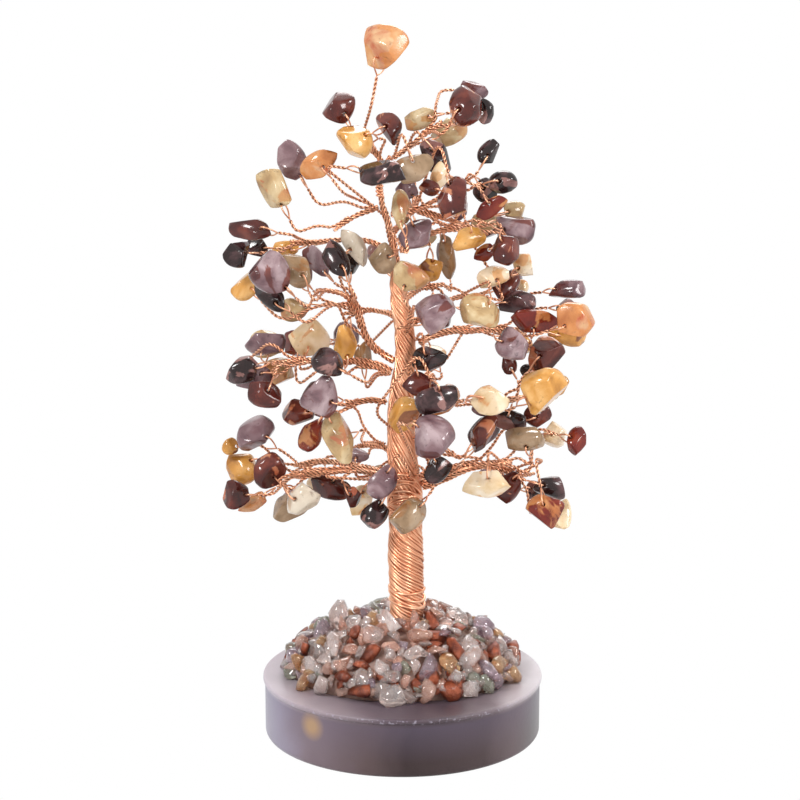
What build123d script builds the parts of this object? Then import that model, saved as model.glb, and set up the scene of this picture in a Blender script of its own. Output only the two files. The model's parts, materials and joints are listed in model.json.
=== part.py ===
from build123d import *

import os
from math import cos, pi, radians, sin, sqrt, tan

import numpy as np

os.makedirs("parts", exist_ok=True)

# Driving dimensions, in millimetres
TREE_HEIGHT = 188.5
BASE_DIAMETER = 75.0
BASE_HEIGHT = 16.0
BASE_EDGE_ROUNDING = 1.2
RIM_THICKNESS = 1.4
RIM_OVERHANG = 0.5
RIM_ROUNDING = 0.5
RIM_SEAT_GAP = 0.02

MOUND_REACH_SIDEWAYS = 31.0
MOUND_REACH_FORWARD = 26.0
MOUND_HEIGHT = 17.0
MOUND_CENTRE_SETBACK = 1.0
MOUND_LIFT = 0.8
CHIP_LENGTH = 4.6
CHIP_WIDTH = 3.5
CHIP_THICKNESS = 2.5
CHIP_SIDE_SPACE = 0.8
CHIP_SEAT_GAP = 0.25
GLUE_BORE_CLEARANCE = 0.3

WIRE_DIAMETER = 0.45
TWIG_DIAMETER = 0.9
TRUNK_DIAMETER = 9.2
LIMB_DIAMETER = 3.2
WIRE_CLEARANCE = 0.12
TWIG_SPACING = 0.2

STONE_LENGTH = 9.4
STONE_CLEARANCE = 0.35
HOLE_DIAMETER = 1.2
HOLE_INSET = 2.2
LOOP_STANDOFF = 0.5
LOOP_NECK = 2.0
LOOP_CORNER_RADIUS = 0.4
NECK_GAP = 0.3
TWIG_BEND_LEAST = 0.5
LOOSE_STONE_ROOM = 1.2

FOOT_WINDING_HEIGHT = 35.0
FOOT_WINDING_TURNS = 5
FORK_WINDING_TURNS = 4
KNOT_WINDING_TURNS = 4
WINDING_PITCH = 0.95
WINDING_CLEARANCE = 0.2

# Where the photograph was taken from, in shares of the tree's height, in degrees and in pixels
VIEW_DISTANCE_SHARE = 3.183
VIEW_HEIGHT_SHARE = 1.199
VIEW_SIDE_SHARE = -0.00345
VIEW_PITCH = 12.68
VIEW_FOCUS = 2340.0
PHOTO_MIDDLE = 400.0
TYPICAL_STONE_PIXELS = 36.0
TYPICAL_LIMB_PIXELS = 12.0
TYPICAL_TRUNK_PIXELS = 34.0

# The trunk's centre line from the glue up: column, row, depth behind the axis and width, in pixels
TRUNK_PIXELS = (
    (407, 600, 0, 33),
    (406, 560, 0, 35),
    (405, 500, 0, 32),
    (402, 450, 0, 29),
    (401, 400, 0, 25),
    (405, 365, 0, 21),
    (405, 335, 0, 20),
    (401, 310, 0, 19),
    (397, 285, 0, 16),
    (396, 266, 0, 11),
)
LEADER_PIXELS = (
    (396, 264, 0, 10),
    (392, 240, 0, 9),
    (388, 222, 0, 8),
    (382, 205, 0, 7),
    (379, 188, 0, 6),
    (383, 170, 0, 6),
    (390, 156, 0, 6),
)

FORK_WINDING_PIXEL = (405, 514)
KNOT_WINDING_PIXEL = (380, 196)

# Each limb's route from its root outward: column, row and depth, and the widths at root and tip
LIMB_PIXELS = {
    "low_left": (
        (
            (403, 486, 0), (372, 471, -12), (345, 470, -18),
            (318, 472, -22), (290, 475, -22),
        ),
        12,
        7,
    ),
    "low_left_rear": (
        (
            (400, 474, 8), (372, 470, 26), (345, 463, 38),
            (318, 461, 50), (294, 466, 58),
        ),
        10,
        6,
    ),
    "low_right": (
        (
            (408, 490, 0), (440, 480, -8), (466, 468, -16),
            (490, 464, -20), (512, 462, -22),
        ),
        12,
        7,
    ),
    "low_right_outer": (
        (
            (408, 484, 6), (440, 470, 20), (472, 465, 28),
            (500, 468, 26), (524, 480, 14),
        ),
        11,
        6,
    ),
    "middle_left": (((398, 407, 0), (378, 399, -8), (358, 402, -16), (338, 413, -24)), 9, 6),
    "middle_right": (
        (
            (404, 430, 0), (426, 416, -4), (446, 411, -8),
            (468, 405, -12), (492, 407, -8), (514, 402, -4),
        ),
        10,
        6,
    ),
    "broad_left": (
        (
            (400, 378, 0), (374, 364, -8), (348, 361, -12),
            (320, 361, -14), (294, 361, -14), (272, 364, -12),
        ),
        11,
        6,
    ),
    "broad_left_rise": (
        (
            (403, 364, 4), (378, 352, 16), (364, 332, 16),
            (357, 308, 10), (340, 292, 4), (316, 290, -2),
        ),
        9,
        6,
    ),
    "broad_front": (((403, 340, -6), (410, 322, -24), (414, 306, -36)), 8, 6),
    "broad_right": (
        (
            (406, 352, 0), (428, 338, -4), (446, 331, -6),
            (472, 331, -6), (500, 329, -4), (526, 335, 0),
        ),
        10,
        6,
    ),
    "broad_right_rise": (
        (
            (404, 330, 4), (424, 316, 18), (442, 302, 20),
            (464, 296, 18), (488, 297, 12),
        ),
        8,
        6,
    ),
    "upper_left": (((383, 206, 0), (364, 212, -4), (348, 220, -6), (334, 231, -8)), 7, 5),
    "upper_left_low": (
        (
            (393, 252, 2), (366, 240, 8), (340, 240, 8),
            (312, 242, 4), (290, 241, 2),
        ),
        7,
        5,
    ),
    "upper_front": (((391, 238, -4), (399, 226, -18), (404, 220, -26)), 6, 5),
    "upper_right": (
        (
            (394, 256, 0), (412, 245, -4), (432, 233, -8),
            (450, 228, -8), (470, 226, -6), (488, 234, -2),
        ),
        8,
        5,
    ),
    "upper_right_rise": (
        (
            (384, 214, 2), (408, 214, 8), (430, 203, 8),
            (450, 192, 6), (470, 180, 2),
        ),
        7,
        5,
    ),
    "top_left": (((386, 166, 0), (374, 150, -2), (368, 134, -4)), 6, 4),
    "top_right": (((390, 160, 4), (408, 148, 8), (424, 134, 8), (442, 121, 4)), 6, 5),
    "rear_low_right": (((408, 462, 8), (420, 452, 34), (434, 448, 60), (446, 446, 78)), 10, 6),
    "rear_low_left": (((398, 456, 8), (384, 446, 34), (368, 444, 58), (352, 448, 76)), 10, 6),
    "rear_middle": (((402, 396, 8), (412, 382, 34), (422, 378, 58), (434, 376, 74)), 9, 6),
    "rear_broad_left": (((402, 322, 6), (388, 312, 28), (366, 310, 50), (342, 314, 62)), 8, 6),
    "rear_broad_right": (((400, 304, 6), (414, 292, 30), (428, 286, 50), (444, 284, 62)), 8, 6),
    "rear_upper": (((388, 232, 4), (394, 222, 24), (404, 214, 38), (416, 208, 48)), 6, 5),
}

# Each stone: column, row, depth, long side, short side, turn in degrees, kind and the limb it is wired to
STONE_PIXELS = {
    1: (382, 47, 0, 53, 42, -5, "orange", "top_left"),
    2: (339, 107, -6, 36, 34, 30, "maroon", "top_left"),
    3: (354, 140, -26, 38, 34, 100, "mustard", "top_left"),
    4: (390, 128, 16, 32, 24, -68, "maroon", "top_left"),
    5: (420, 118, 26, 36, 22, 10, "tan", "top_right"),
    6: (447, 133, 30, 40, 26, 20, "tan", "top_right"),
    7: (467, 105, -14, 40, 34, 50, "maroon", "top_right"),
    8: (475, 90, 16, 26, 24, 0, "plum", "top_right"),
    9: (486, 113, 8, 27, 16, 90, "black", "top_right"),
    10: (436, 157, 4, 36, 24, -55, "black", "top_right"),
    11: (440, 175, -4, 26, 17, 80, "cream", "upper_right_rise"),
    12: (380, 173, -30, 56, 26, -8, "black", "leader"),
    13: (415, 168, -24, 38, 27, 20, "olive", "leader"),
    14: (409, 190, 18, 24, 20, 20, "plum", "upper_right_rise"),
    15: (430, 188, -10, 22, 15, -25, "maroon", "upper_right_rise"),
    16: (456, 201, -24, 44, 32, -75, "maroon", "upper_right_rise"),
    17: (490, 151, -4, 30, 21, 60, "black", "upper_right_rise"),
    18: (503, 184, -6, 27, 24, 0, "black", "upper_right_rise"),
    19: (487, 190, 18, 24, 22, 40, "black", "upper_right_rise"),
    20: (492, 207, -8, 38, 16, 35, "red", "upper_right_rise"),
    21: (513, 212, 24, 28, 20, 10, "tan", "upper_right"),
    22: (514, 228, -6, 38, 30, -10, "plum", "upper_right"),
    23: (507, 250, -22, 32, 28, 20, "maroon", "upper_right"),
    24: (484, 254, -6, 24, 15, 40, "red", "upper_right"),
    25: (470, 238, -26, 36, 22, 20, "mustard", "upper_right"),
    26: (487, 222, 40, 34, 18, 5, "tan", "rear_upper"),
    27: (525, 266, 6, 30, 20, -60, "cream", "broad_right_rise"),
    28: (494, 276, -14, 40, 18, 22, "cream", "broad_right_rise"),
    29: (506, 283, 14, 36, 24, 40, "maroon", "broad_right_rise"),
    30: (521, 287, 32, 14, 14, 0, "cream", "broad_right_rise"),
    31: (517, 303, 4, 34, 22, 5, "black", "broad_right_rise"),
    32: (483, 313, -18, 44, 32, -15, "tan", "broad_right_rise"),
    33: (533, 321, -14, 50, 22, -2, "red", "broad_right"),
    34: (568, 290, -2, 38, 18, 5, "plum", "broad_right"),
    35: (575, 321, -24, 38, 36, 20, "orange", "broad_right"),
    36: (570, 336, 10, 44, 20, -10, "mustard", "broad_right"),
    37: (566, 308, 18, 20, 18, 0, "black", "broad_right"),
    38: (514, 345, -14, 34, 28, -30, "plum", "broad_right"),
    39: (508, 364, -4, 20, 16, -60, "maroon", "middle_right"),
    40: (545, 355, -6, 34, 34, 45, "maroon", "middle_right"),
    41: (533, 372, 18, 24, 16, 0, "black", "broad_right"),
    42: (543, 391, -20, 46, 42, 30, "mustard", "middle_right"),
    43: (556, 386, 24, 26, 18, 20, "mustard", "middle_right"),
    45: (490, 400, -24, 36, 29, 0, "cream", "middle_right"),
    46: (508, 420, 6, 40, 18, -15, "black", "middle_right"),
    47: (540, 415, 16, 30, 22, 20, "maroon", "middle_right"),
    48: (482, 434, -14, 44, 22, 55, "maroon", "low_right"),
    49: (527, 439, -14, 50, 22, 3, "olive", "low_right"),
    50: (557, 435, 8, 26, 25, 0, "cream", "low_right"),
    51: (576, 442, -10, 34, 22, 65, "red", "low_right"),
    52: (489, 483, -36, 52, 29, 0, "cream", "low_right"),
    53: (508, 486, 4, 36, 26, 40, "maroon", "low_right_outer"),
    54: (551, 487, -8, 36, 22, -15, "black", "low_right_outer"),
    56: (536, 490, 30, 18, 18, 0, "black", "low_right_outer"),
    57: (546, 512, -14, 36, 34, 10, "red", "low_right_outer"),
    58: (560, 515, 16, 34, 20, 90, "cream", "low_right_outer"),
    60: (430, 358, -18, 38, 24, 10, "black", "broad_right"),
    61: (420, 383, -26, 32, 22, 15, "maroon", "trunk"),
    62: (439, 399, -48, 44, 26, 20, "black", "trunk"),
    63: (404, 416, -38, 36, 28, 70, "mustard", "trunk"),
    64: (431, 437, -52, 40, 38, -25, "plum", "trunk"),
    65: (438, 468, -26, 32, 24, 35, "black", "trunk"),
    66: (407, 518, -38, 46, 26, 47, "olive", "trunk"),
    67: (435, 315, -34, 46, 34, 20, "plum", "broad_front"),
    68: (407, 277, -30, 42, 27, -10, "tan", "broad_front"),
    69: (430, 268, -16, 26, 25, 0, "mustard", "upper_right"),
    70: (446, 256, -4, 44, 16, -80, "olive", "upper_right"),
    71: (401, 211, -36, 42, 18, -80, "tan", "upper_front"),
    72: (417, 233, -24, 36, 26, 25, "plum", "upper_front"),
    73: (382, 258, -24, 32, 22, -65, "olive", "upper_front"),
    74: (356, 247, -12, 42, 18, -60, "white", "broad_left_rise"),
    75: (335, 258, -8, 42, 22, -62, "black", "broad_left_rise"),
    76: (350, 265, 18, 26, 22, 0, "black", "broad_left_rise"),
    77: (317, 262, 0, 38, 18, -50, "plum", "broad_left_rise"),
    78: (295, 268, -24, 40, 26, -60, "olive", "broad_left_rise"),
    79: (283, 250, 24, 34, 16, 10, "mustard", "upper_left_low"),
    80: (273, 275, -30, 46, 36, -45, "plum", "broad_left_rise"),
    81: (247, 285, 0, 32, 26, 40, "mustard", "broad_left_rise"),
    82: (270, 295, -6, 40, 20, -40, "black", "broad_left_rise"),
    83: (297, 309, 14, 32, 22, 10, "tan", "broad_left_rise"),
    84: (238, 253, -4, 28, 27, 0, "black", "upper_left_low"),
    85: (257, 248, 20, 22, 20, 90, "black", "upper_left_low"),
    86: (251, 229, -8, 42, 22, -8, "maroon", "upper_left_low"),
    87: (275, 188, -6, 52, 32, -65, "tan", "upper_left"),
    88: (293, 163, 10, 44, 26, -60, "plum", "upper_left"),
    89: (320, 163, -12, 40, 24, 40, "orange", "upper_left"),
    90: (265, 342, 6, 40, 28, -5, "plum", "broad_left"),
    91: (295, 345, 18, 28, 26, 0, "red", "broad_left"),
    92: (309, 338, -14, 40, 36, -20, "cream", "broad_left"),
    93: (345, 341, -22, 42, 24, 90, "mustard", "broad_left"),
    94: (363, 355, 30, 34, 16, -85, "olive", "broad_left"),
    95: (330, 363, -34, 34, 26, -30, "black", "broad_left"),
    96: (243, 370, -24, 40, 24, 15, "black", "broad_left"),
    97: (255, 378, 6, 36, 30, 10, "plum", "broad_left"),
    98: (267, 395, -10, 36, 24, -20, "maroon", "broad_left"),
    99: (280, 372, 26, 34, 26, 0, "tan", "broad_left"),
    101: (320, 397, -28, 42, 34, 75, "plum", "middle_left"),
    102: (298, 412, 6, 30, 26, 0, "maroon", "middle_left"),
    103: (313, 433, -4, 36, 20, 60, "red", "middle_left"),
    104: (341, 440, -30, 50, 30, -70, "tan", "middle_left"),
    105: (357, 455, 14, 24, 14, 0, "plum", "low_left_rear"),
    106: (256, 435, -10, 40, 34, 60, "plum", "low_left"),
    107: (232, 446, 16, 20, 18, 0, "mustard", "low_left"),
    108: (241, 467, 20, 34, 30, -70, "mustard", "low_left_rear"),
    109: (268, 470, -20, 32, 32, 45, "maroon", "low_left"),
    110: (236, 495, 0, 28, 26, 0, "maroon", "low_left"),
    111: (255, 502, 20, 36, 14, 35, "orange", "low_left"),
    112: (301, 499, -28, 38, 28, 45, "white", "low_left"),
    113: (290, 507, 20, 36, 26, 10, "olive", "low_left_rear"),
    114: (329, 487, -10, 44, 22, -15, "maroon", "low_left"),
    115: (353, 497, -20, 22, 18, 30, "maroon", "low_left"),
    116: (360, 500, 10, 34, 24, 60, "cream", "low_left_rear"),
    117: (381, 481, -40, 34, 28, 60, "plum", "trunk"),
    118: (375, 513, -26, 32, 22, 60, "black", "trunk"),
    121: (487, 484, 62, 38, 26, 10, "plum", "rear_low_right"),
    122: (432, 440, 92, 36, 28, 60, "mustard", "rear_low_right"),
    124: (484, 432, 70, 38, 22, 50, "black", "rear_low_right"),
    125: (341, 442, 92, 40, 26, -60, "maroon", "rear_low_left"),
    126: (326, 486, 74, 36, 24, 0, "cream", "rear_low_left"),
    127: (380, 482, 64, 30, 26, 60, "olive", "rear_low_left"),
    128: (318, 398, 66, 38, 30, 80, "plum", "rear_low_left"),
    129: (292, 500, 62, 34, 24, 30, "plum", "low_left_rear"),
    130: (440, 400, 90, 38, 26, 20, "orange", "rear_middle"),
    131: (490, 402, 66, 36, 26, 0, "plum", "rear_middle"),
    132: (430, 356, 84, 32, 24, 30, "cream", "rear_middle"),
    133: (406, 416, 76, 34, 28, 80, "maroon", "rear_middle"),
    134: (516, 344, 62, 34, 26, -20, "mustard", "rear_middle"),
    135: (543, 390, 52, 34, 28, 20, "olive", "rear_middle"),
    136: (436, 314, 82, 40, 28, 10, "maroon", "rear_broad_right"),
    137: (482, 312, 66, 38, 28, -10, "black", "rear_broad_right"),
    138: (406, 278, 76, 36, 26, 0, "mustard", "rear_broad_right"),
    139: (506, 282, 62, 34, 22, 30, "plum", "rear_broad_right"),
    140: (446, 256, 80, 40, 18, -80, "red", "rear_broad_right"),
    141: (308, 340, 62, 38, 30, 0, "black", "rear_broad_left"),
    142: (345, 342, 84, 38, 24, 80, "plum", "rear_broad_left"),
    143: (268, 344, 56, 34, 26, 0, "tan", "rear_broad_left"),
    144: (296, 270, 58, 36, 26, -50, "maroon", "rear_broad_left"),
    146: (382, 258, 62, 32, 22, -60, "black", "rear_broad_left"),
    147: (402, 210, 66, 34, 20, -80, "olive", "rear_upper"),
    148: (420, 234, 66, 34, 24, 20, "tan", "rear_upper"),
    149: (456, 202, 56, 38, 26, -70, "plum", "rear_upper"),
    150: (488, 226, 56, 34, 22, 0, "maroon", "rear_upper"),
    151: (438, 158, 44, 32, 22, -50, "orange", "rear_upper"),
}

# Stones that hang on an open loop and turn on it, by the name of their own piece
LOOSE_STONES = {
    1: "crown_stone",
    2: "top_left_stone",
    17: "open_loop_stone",
    48: "low_right_drop_stone",
    51: "low_right_tip_stone",
    87: "upper_left_tip_stone",
    106: "low_left_tip_stone",
}

# A stone's outline across its length, and its breadth along it, in shares of its sides
OUTLINE_SHARES = (
    ((0.50, -0.12), (0.32, 0.44), (-0.18, 0.49), (-0.50, 0.08), (-0.30, -0.46), (0.24, -0.47)),
    ((0.49, 0.14), (0.10, 0.50), (-0.34, 0.42), (-0.50, -0.10), (-0.12, -0.49), (0.36, -0.40)),
    ((0.46, -0.30), (0.42, 0.36), (-0.08, 0.50), (-0.47, 0.26), (-0.44, -0.32), (0.06, -0.50)),
)
PROFILE_SHARES = (
    ((-0.50, 0.26), (-0.38, 0.72), (-0.06, 1.00), (0.28, 0.88), (0.44, 0.56), (0.50, 0.22)),
    ((-0.50, 0.42), (-0.42, 0.72), (-0.16, 1.00), (0.20, 0.78), (0.42, 0.46), (0.50, 0.20)),
    ((-0.50, 0.48), (-0.44, 0.68), (-0.20, 1.00), (0.24, 0.96), (0.44, 0.66), (0.50, 0.42)),
)
CHIP_PROFILE_SHARES = ((-0.50, 0.30), (-0.36, 0.76), (0.04, 1.00), (0.40, 0.70), (0.50, 0.34))
STONE_THICKNESS_SHARES = (0.72, 0.62, 0.80, 0.68)
STONE_ENVELOPE_SHARE = 1.05
HOLE_INSET_SHARE = 0.5
LONG_SIDE_BIAS_SHARE = 0.06

# How far a stone tips and leans out of the photograph's plane, in degrees, and how its number changes that
STONE_TILT = 22
STONE_LEAN = 20
TILT_RHYTHM = 1.7
LEAN_RHYTHM = 2.3

# How the gravel varies from chip to chip
CHIP_YAW = 20
CHIP_RING_SHIFT_SHARE = 0.37
CHIP_SIDE_LEAST_SHARE = 0.92
CHIP_THICKNESS_LEAST_SHARE = 0.9
CHIP_RHYTHMS = (2.1, 1.3, 1.9, 2.7)
CHIP_KIND_STRIDE = 7
MOUND_EDGE_ANGLE = 84
GLUE_ANGLES = (84, 70, 56, 42, 30, 20)
CHIP_KINDS = (
    "clear", "rose", "amethyst", "red", "clear", "white",
    "green", "rose", "red", "citrine", "white",
)

# How the stones are settled apart and how the twigs look for a clear way
SETTLING_ROUNDS = 160
SETTLING_STEP_SHARE = 0.6
SETTLING_STRIDE = 1.5
STONE_ROUNDNESS = 1.5
LOOP_ROUNDNESS = 1.2
ENVELOPE_POWER = 3
RUN_OVERLAP_SHARE = 1.2
LIMB_FINE_STEPS = 40
LIMB_ROOT_STEPS = 12
TWIG_SAMPLES = 26
TWIG_SAMPLE_SPACING = 0.6
TWIG_ROOT_SAMPLES = 2
TWIG_NECK_SAMPLES = 3
TWIG_CORNER_SHARE = 0.45
TWIG_AHEAD_SHARE = 0.8
TWIG_REACH_WEIGHT_SHARE = 0.15
NEAREST_BUNDLES = 5
STRAIGHT_ANGLE = 1.5
PLACE_TOLERANCE = 0.01
COIL_GAP_SAMPLES = 24
STATION_SHARES = (0.0, 0.12, -0.12, 0.24, -0.24, 0.4, -0.4, 0.6, -0.6)
SWING_ANGLES = (0, 35, -35, 70, -70, 110, -110, 150, 180)
REACH_SHARES = (0.34, 0.2, 0.48, 0.62, 0.1)
LEAVING_SHARE = 0.8

BASE_TOP = BASE_HEIGHT


def unit(vector):
    """The vector at length one."""
    return np.asarray(vector, dtype=float) / np.linalg.norm(vector)


# The viewpoint of the photograph
PITCH = radians(VIEW_PITCH)
EYE = TREE_HEIGHT * np.array([VIEW_SIDE_SHARE, -VIEW_DISTANCE_SHARE, VIEW_HEIGHT_SHARE])
VIEW_FORWARD = np.array([0.0, cos(PITCH), -sin(PITCH)])
VIEW_UP = np.array([0.0, sin(PITCH), cos(PITCH)])
VIEW_RIGHT = np.array([1.0, 0.0, 0.0])
PIXEL = TREE_HEIGHT * VIEW_DISTANCE_SHARE / VIEW_FOCUS


def sight(column, row):
    """The direction in which the photograph sees a pixel, one unit long along the view."""
    across = (column - PHOTO_MIDDLE) / VIEW_FOCUS
    down = (row - PHOTO_MIDDLE) / VIEW_FOCUS
    return VIEW_FORWARD + across * VIEW_RIGHT - down * VIEW_UP


def place(column, row, depth=0):
    """The point behind a pixel that lies depth pixels behind the trunk's axis."""
    ray = sight(column, row)
    return EYE + ray * (depth * PIXEL - EYE[1]) / ray[1]


def pixel_size(point):
    """The real size of one pixel at a point."""
    return float(np.dot(point - EYE, VIEW_FORWARD)) / VIEW_FOCUS


def smooth_route(points, widths, steps=4):
    """Points and radii along a smooth line through the given points."""
    points = np.array(points, dtype=float)
    ends = np.vstack([2 * points[0] - points[1], points, 2 * points[-1] - points[-2]])
    line = []
    radii = []
    for i in range(len(points) - 1):
        a, b, c, d = ends[i : i + 4]
        bend = 2 * a - 5 * b + 4 * c - d
        twist = 3 * b - a - 3 * c + d
        for step in range(steps):
            t = step / steps
            line.append((2 * b + (c - a) * t + bend * t**2 + twist * t**3) / 2)
            radii.append((widths[i] + (widths[i + 1] - widths[i]) * t) / 2)
    line.append(points[-1])
    radii.append(widths[-1] / 2)
    return np.array(line), np.array(radii)


def directions(line):
    """The unit direction of a sampled line at each of its points."""
    steps = np.gradient(line, axis=0)
    return steps / np.linalg.norm(steps, axis=1)[:, None]


class Bundle:
    """A bundle of wires: its sampled centre line, its radii and its directions."""

    def __init__(self, points, widths):
        self.line, self.radii = smooth_route(points, widths)
        self.along = directions(self.line)


def trunk_bundle(rows):
    """The places and the real widths of a stem's table rows."""
    points = [place(u, v, depth) for u, v, depth, _ in rows]
    scale = TRUNK_DIAMETER / (TYPICAL_TRUNK_PIXELS * PIXEL)
    widths = [width * pixel_size(point) * scale for point, (_, _, _, width) in zip(points, rows)]
    return points, widths


trunk_points, trunk_widths = trunk_bundle(TRUNK_PIXELS)
trunk_foot = np.array([trunk_points[0][0], 0.0, BASE_TOP + RIM_SEAT_GAP])
trunk = Bundle([trunk_foot] + trunk_points, [trunk_widths[0]] + trunk_widths)
trunk.along[0] = [0.0, 0.0, 1.0]
leader_points, leader_widths = trunk_bundle(LEADER_PIXELS)
leader = Bundle(leader_points, leader_widths)
stems = [trunk, leader]


def distance_to_bundle(points, bundle):
    """How far each point lies from a bundle's surface."""
    start = bundle.line[:-1]
    step = bundle.line[1:] - start
    offset = points[:, None, :] - start[None]
    share = np.clip((offset * step).sum(2) / (step**2).sum(1), 0, 1)
    gap = np.linalg.norm(offset - share[:, :, None] * step, axis=2)
    radius = bundle.radii[:-1] + (bundle.radii[1:] - bundle.radii[:-1]) * share
    return (gap - radius).min(axis=1)


def limb_bundle(route, root_width, tip_width):
    """A limb whose root is cut back to just outside the trunk or leader that it grows from."""
    points = [place(*pixels) for pixels in route]
    scale = LIMB_DIAMETER / (TYPICAL_LIMB_PIXELS * PIXEL)
    runs = len(points) - 1
    widths = [(root_width + (tip_width - root_width) * i / runs) * PIXEL * scale for i in range(runs + 1)]
    line, radii = smooth_route(points, widths, steps=LIMB_FINE_STEPS)
    gaps = np.min([distance_to_bundle(line, stem) for stem in stems], axis=0)
    travel = np.concatenate([[0], np.cumsum(np.linalg.norm(np.diff(line, axis=0), axis=1))])
    climb = np.clip(np.gradient(gaps, travel), 0, 1)
    clear = gaps - radii * np.sqrt(1 - climb**2) - WIRE_CLEARANCE
    first = int(np.argmax(clear > 0))
    kept = [i for i in range(runs + 1) if i * LIMB_FINE_STEPS > first + LIMB_ROOT_STEPS]
    return Bundle([line[first]] + [points[i] for i in kept], [radii[first] * 2] + [widths[i] for i in kept])


limbs = {name: limb_bundle(*pixels) for name, pixels in LIMB_PIXELS.items()}
bundles = {"trunk": trunk, "leader": leader, **limbs}


class Coil:
    """A wire wound round a bundle: its axis, its radius and the space that it fills."""

    def __init__(self, bundle, height, turns):
        self.turns = turns
        self.rise = WINDING_PITCH * turns
        nearest = int(np.argmin(np.abs(bundle.line[:, 2] - height)))
        self.axis = bundle.along[nearest]
        self.foot = bundle.line[nearest] + self.axis * (height - bundle.line[nearest][2]) / self.axis[2]
        self.side = unit(np.cross(self.axis, [0, 1, 0]))
        self.other = np.cross(self.axis, self.side)
        above = bundle.line[:, 2] > height - WINDING_PITCH
        inside = above & (bundle.line[:, 2] < height + self.rise + WINDING_PITCH)
        aside = np.linalg.norm(np.cross(bundle.line - self.foot, self.axis), axis=1)
        self.radius = (aside + bundle.radii)[inside].max() + WINDING_CLEARANCE + WIRE_DIAMETER / 2

    def point(self, turn):
        """A point of the wire's centre line and its direction there."""
        angle = 2 * pi * turn
        radial = cos(angle) * self.side + sin(angle) * self.other
        across = cos(angle) * self.other - sin(angle) * self.side
        spot = self.foot + self.radius * radial + self.axis * WINDING_PITCH * turn
        return spot, unit(2 * pi * self.radius * across + WINDING_PITCH * self.axis)

    def space(self):
        """The coil as a short plain bundle, for what has to keep clear of it."""
        wide = 2 * self.radius + WIRE_DIAMETER
        return Bundle([self.foot, self.foot + self.axis * self.rise], [wide, wide])


coils = {
    "foot_winding": Coil(trunk, FOOT_WINDING_HEIGHT, FOOT_WINDING_TURNS),
    "fork_winding": Coil(trunk, place(*FORK_WINDING_PIXEL)[2], FORK_WINDING_TURNS),
    "knot_winding": Coil(leader, place(*KNOT_WINDING_PIXEL)[2], KNOT_WINDING_TURNS),
}


class Block:
    """A convex space that nothing else may enter: a centre, three half sides as vectors and a roundness."""

    def __init__(self, centre, halves, owner, roundness):
        self.centre = np.array(centre, dtype=float)
        self.halves = np.array(halves, dtype=float)
        self.owner = owner
        self.roundness = roundness


class Stone:
    """A drilled stone: its place, its sides and the wire loop through it."""

    def __init__(self, number, pixels):
        u, v, depth, long_side, short_side, turn, self.kind, self.limb = pixels
        self.number = number
        self.ray = sight(u, v)
        self.centre = place(u, v, depth)
        scale = STONE_LENGTH / (TYPICAL_STONE_PIXELS * PIXEL) * pixel_size(self.centre)
        thickness_share = STONE_THICKNESS_SHARES[number % len(STONE_THICKNESS_SHARES)]
        self.length = long_side * scale
        self.width = short_side * scale
        self.thickness = self.width * thickness_share
        facing = unit(-self.ray)
        tilt = radians(STONE_TILT * sin(TILT_RHYTHM * number))
        lean = radians(STONE_LEAN * cos(LEAN_RHYTHM * number))
        level = cos(radians(turn)) * VIEW_RIGHT + sin(radians(turn)) * VIEW_UP
        self.a = unit(cos(tilt) * level + sin(tilt) * facing)
        side = unit(np.cross(facing, self.a))
        face = np.cross(self.a, side)
        self.b = unit(cos(lean) * side + sin(lean) * face)
        self.c = np.cross(self.a, self.b)
        self.loose = number in LOOSE_STONES

    def aim(self, target):
        """Turn the loop towards the limb, along the side of the stone that points there best."""
        wanted = unit(target - self.centre)
        sides = [(self.a, self.length), (-self.a, self.length), (self.b, self.width), (-self.b, self.width)]
        bias = LONG_SIDE_BIAS_SHARE / self.width
        best = max(sides, key=lambda item: float(np.dot(item[0], wanted)) + bias * item[1])
        self.out = best[0]
        self.half_out = best[1] / 2
        self.inset = min(HOLE_INSET, HOLE_INSET_SHARE * self.half_out)

    @property
    def hole(self):
        return self.centre + self.out * (self.half_out - self.inset)

    @property
    def neck(self):
        return self.centre + self.out * (self.half_out + LOOP_NECK)

    def blocks(self):
        """The spaces of the stone and of its wire loop."""
        room = LOOSE_STONE_ROOM if self.loose else 0.0
        grow = STONE_ENVELOPE_SHARE / 2
        halves = [
            self.a * (self.length * grow + room),
            self.b * (self.width * grow + room),
            self.c * (self.thickness * grow),
        ]
        loop_reach = (LOOP_NECK + self.inset + WIRE_DIAMETER) / 2
        loop_centre = self.centre + self.out * (self.half_out + (LOOP_NECK - self.inset) / 2)
        loop_half = self.thickness / 2 + LOOP_STANDOFF + WIRE_DIAMETER / 2
        loop_side = np.cross(self.out, self.c)
        loop_halves = [self.out * loop_reach, self.c * loop_half, loop_side * WIRE_DIAMETER / 2]
        return [
            Block(self.centre, halves, self, STONE_ROUNDNESS),
            Block(loop_centre, loop_halves, self, LOOP_ROUNDNESS),
        ]


stones = [Stone(number, pixels) for number, pixels in STONE_PIXELS.items()]
for stone in stones:
    limb_line = bundles[stone.limb].line
    nearest = limb_line[np.argmin(np.linalg.norm(limb_line - stone.centre, axis=1))]
    stone.aim(nearest)


def bundle_blocks(bundle):
    """The spaces that a bundle fills, run by run."""
    blocks = []
    for start, end, radius in zip(bundle.line[:-1], bundle.line[1:], bundle.radii):
        along = (end - start) / 2
        across = unit(np.cross(along, VIEW_FORWARD))
        upright = unit(np.cross(along, across))
        halves = [along * RUN_OVERLAP_SHARE, across * radius, upright * radius]
        blocks.append(Block((start + end) / 2, halves, None, STONE_ROUNDNESS))
    return blocks


in_the_way = list(bundles.values()) + [coil.space() for coil in coils.values()]
fixed_blocks = [block for bundle in in_the_way for block in bundle_blocks(bundle)]


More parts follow.
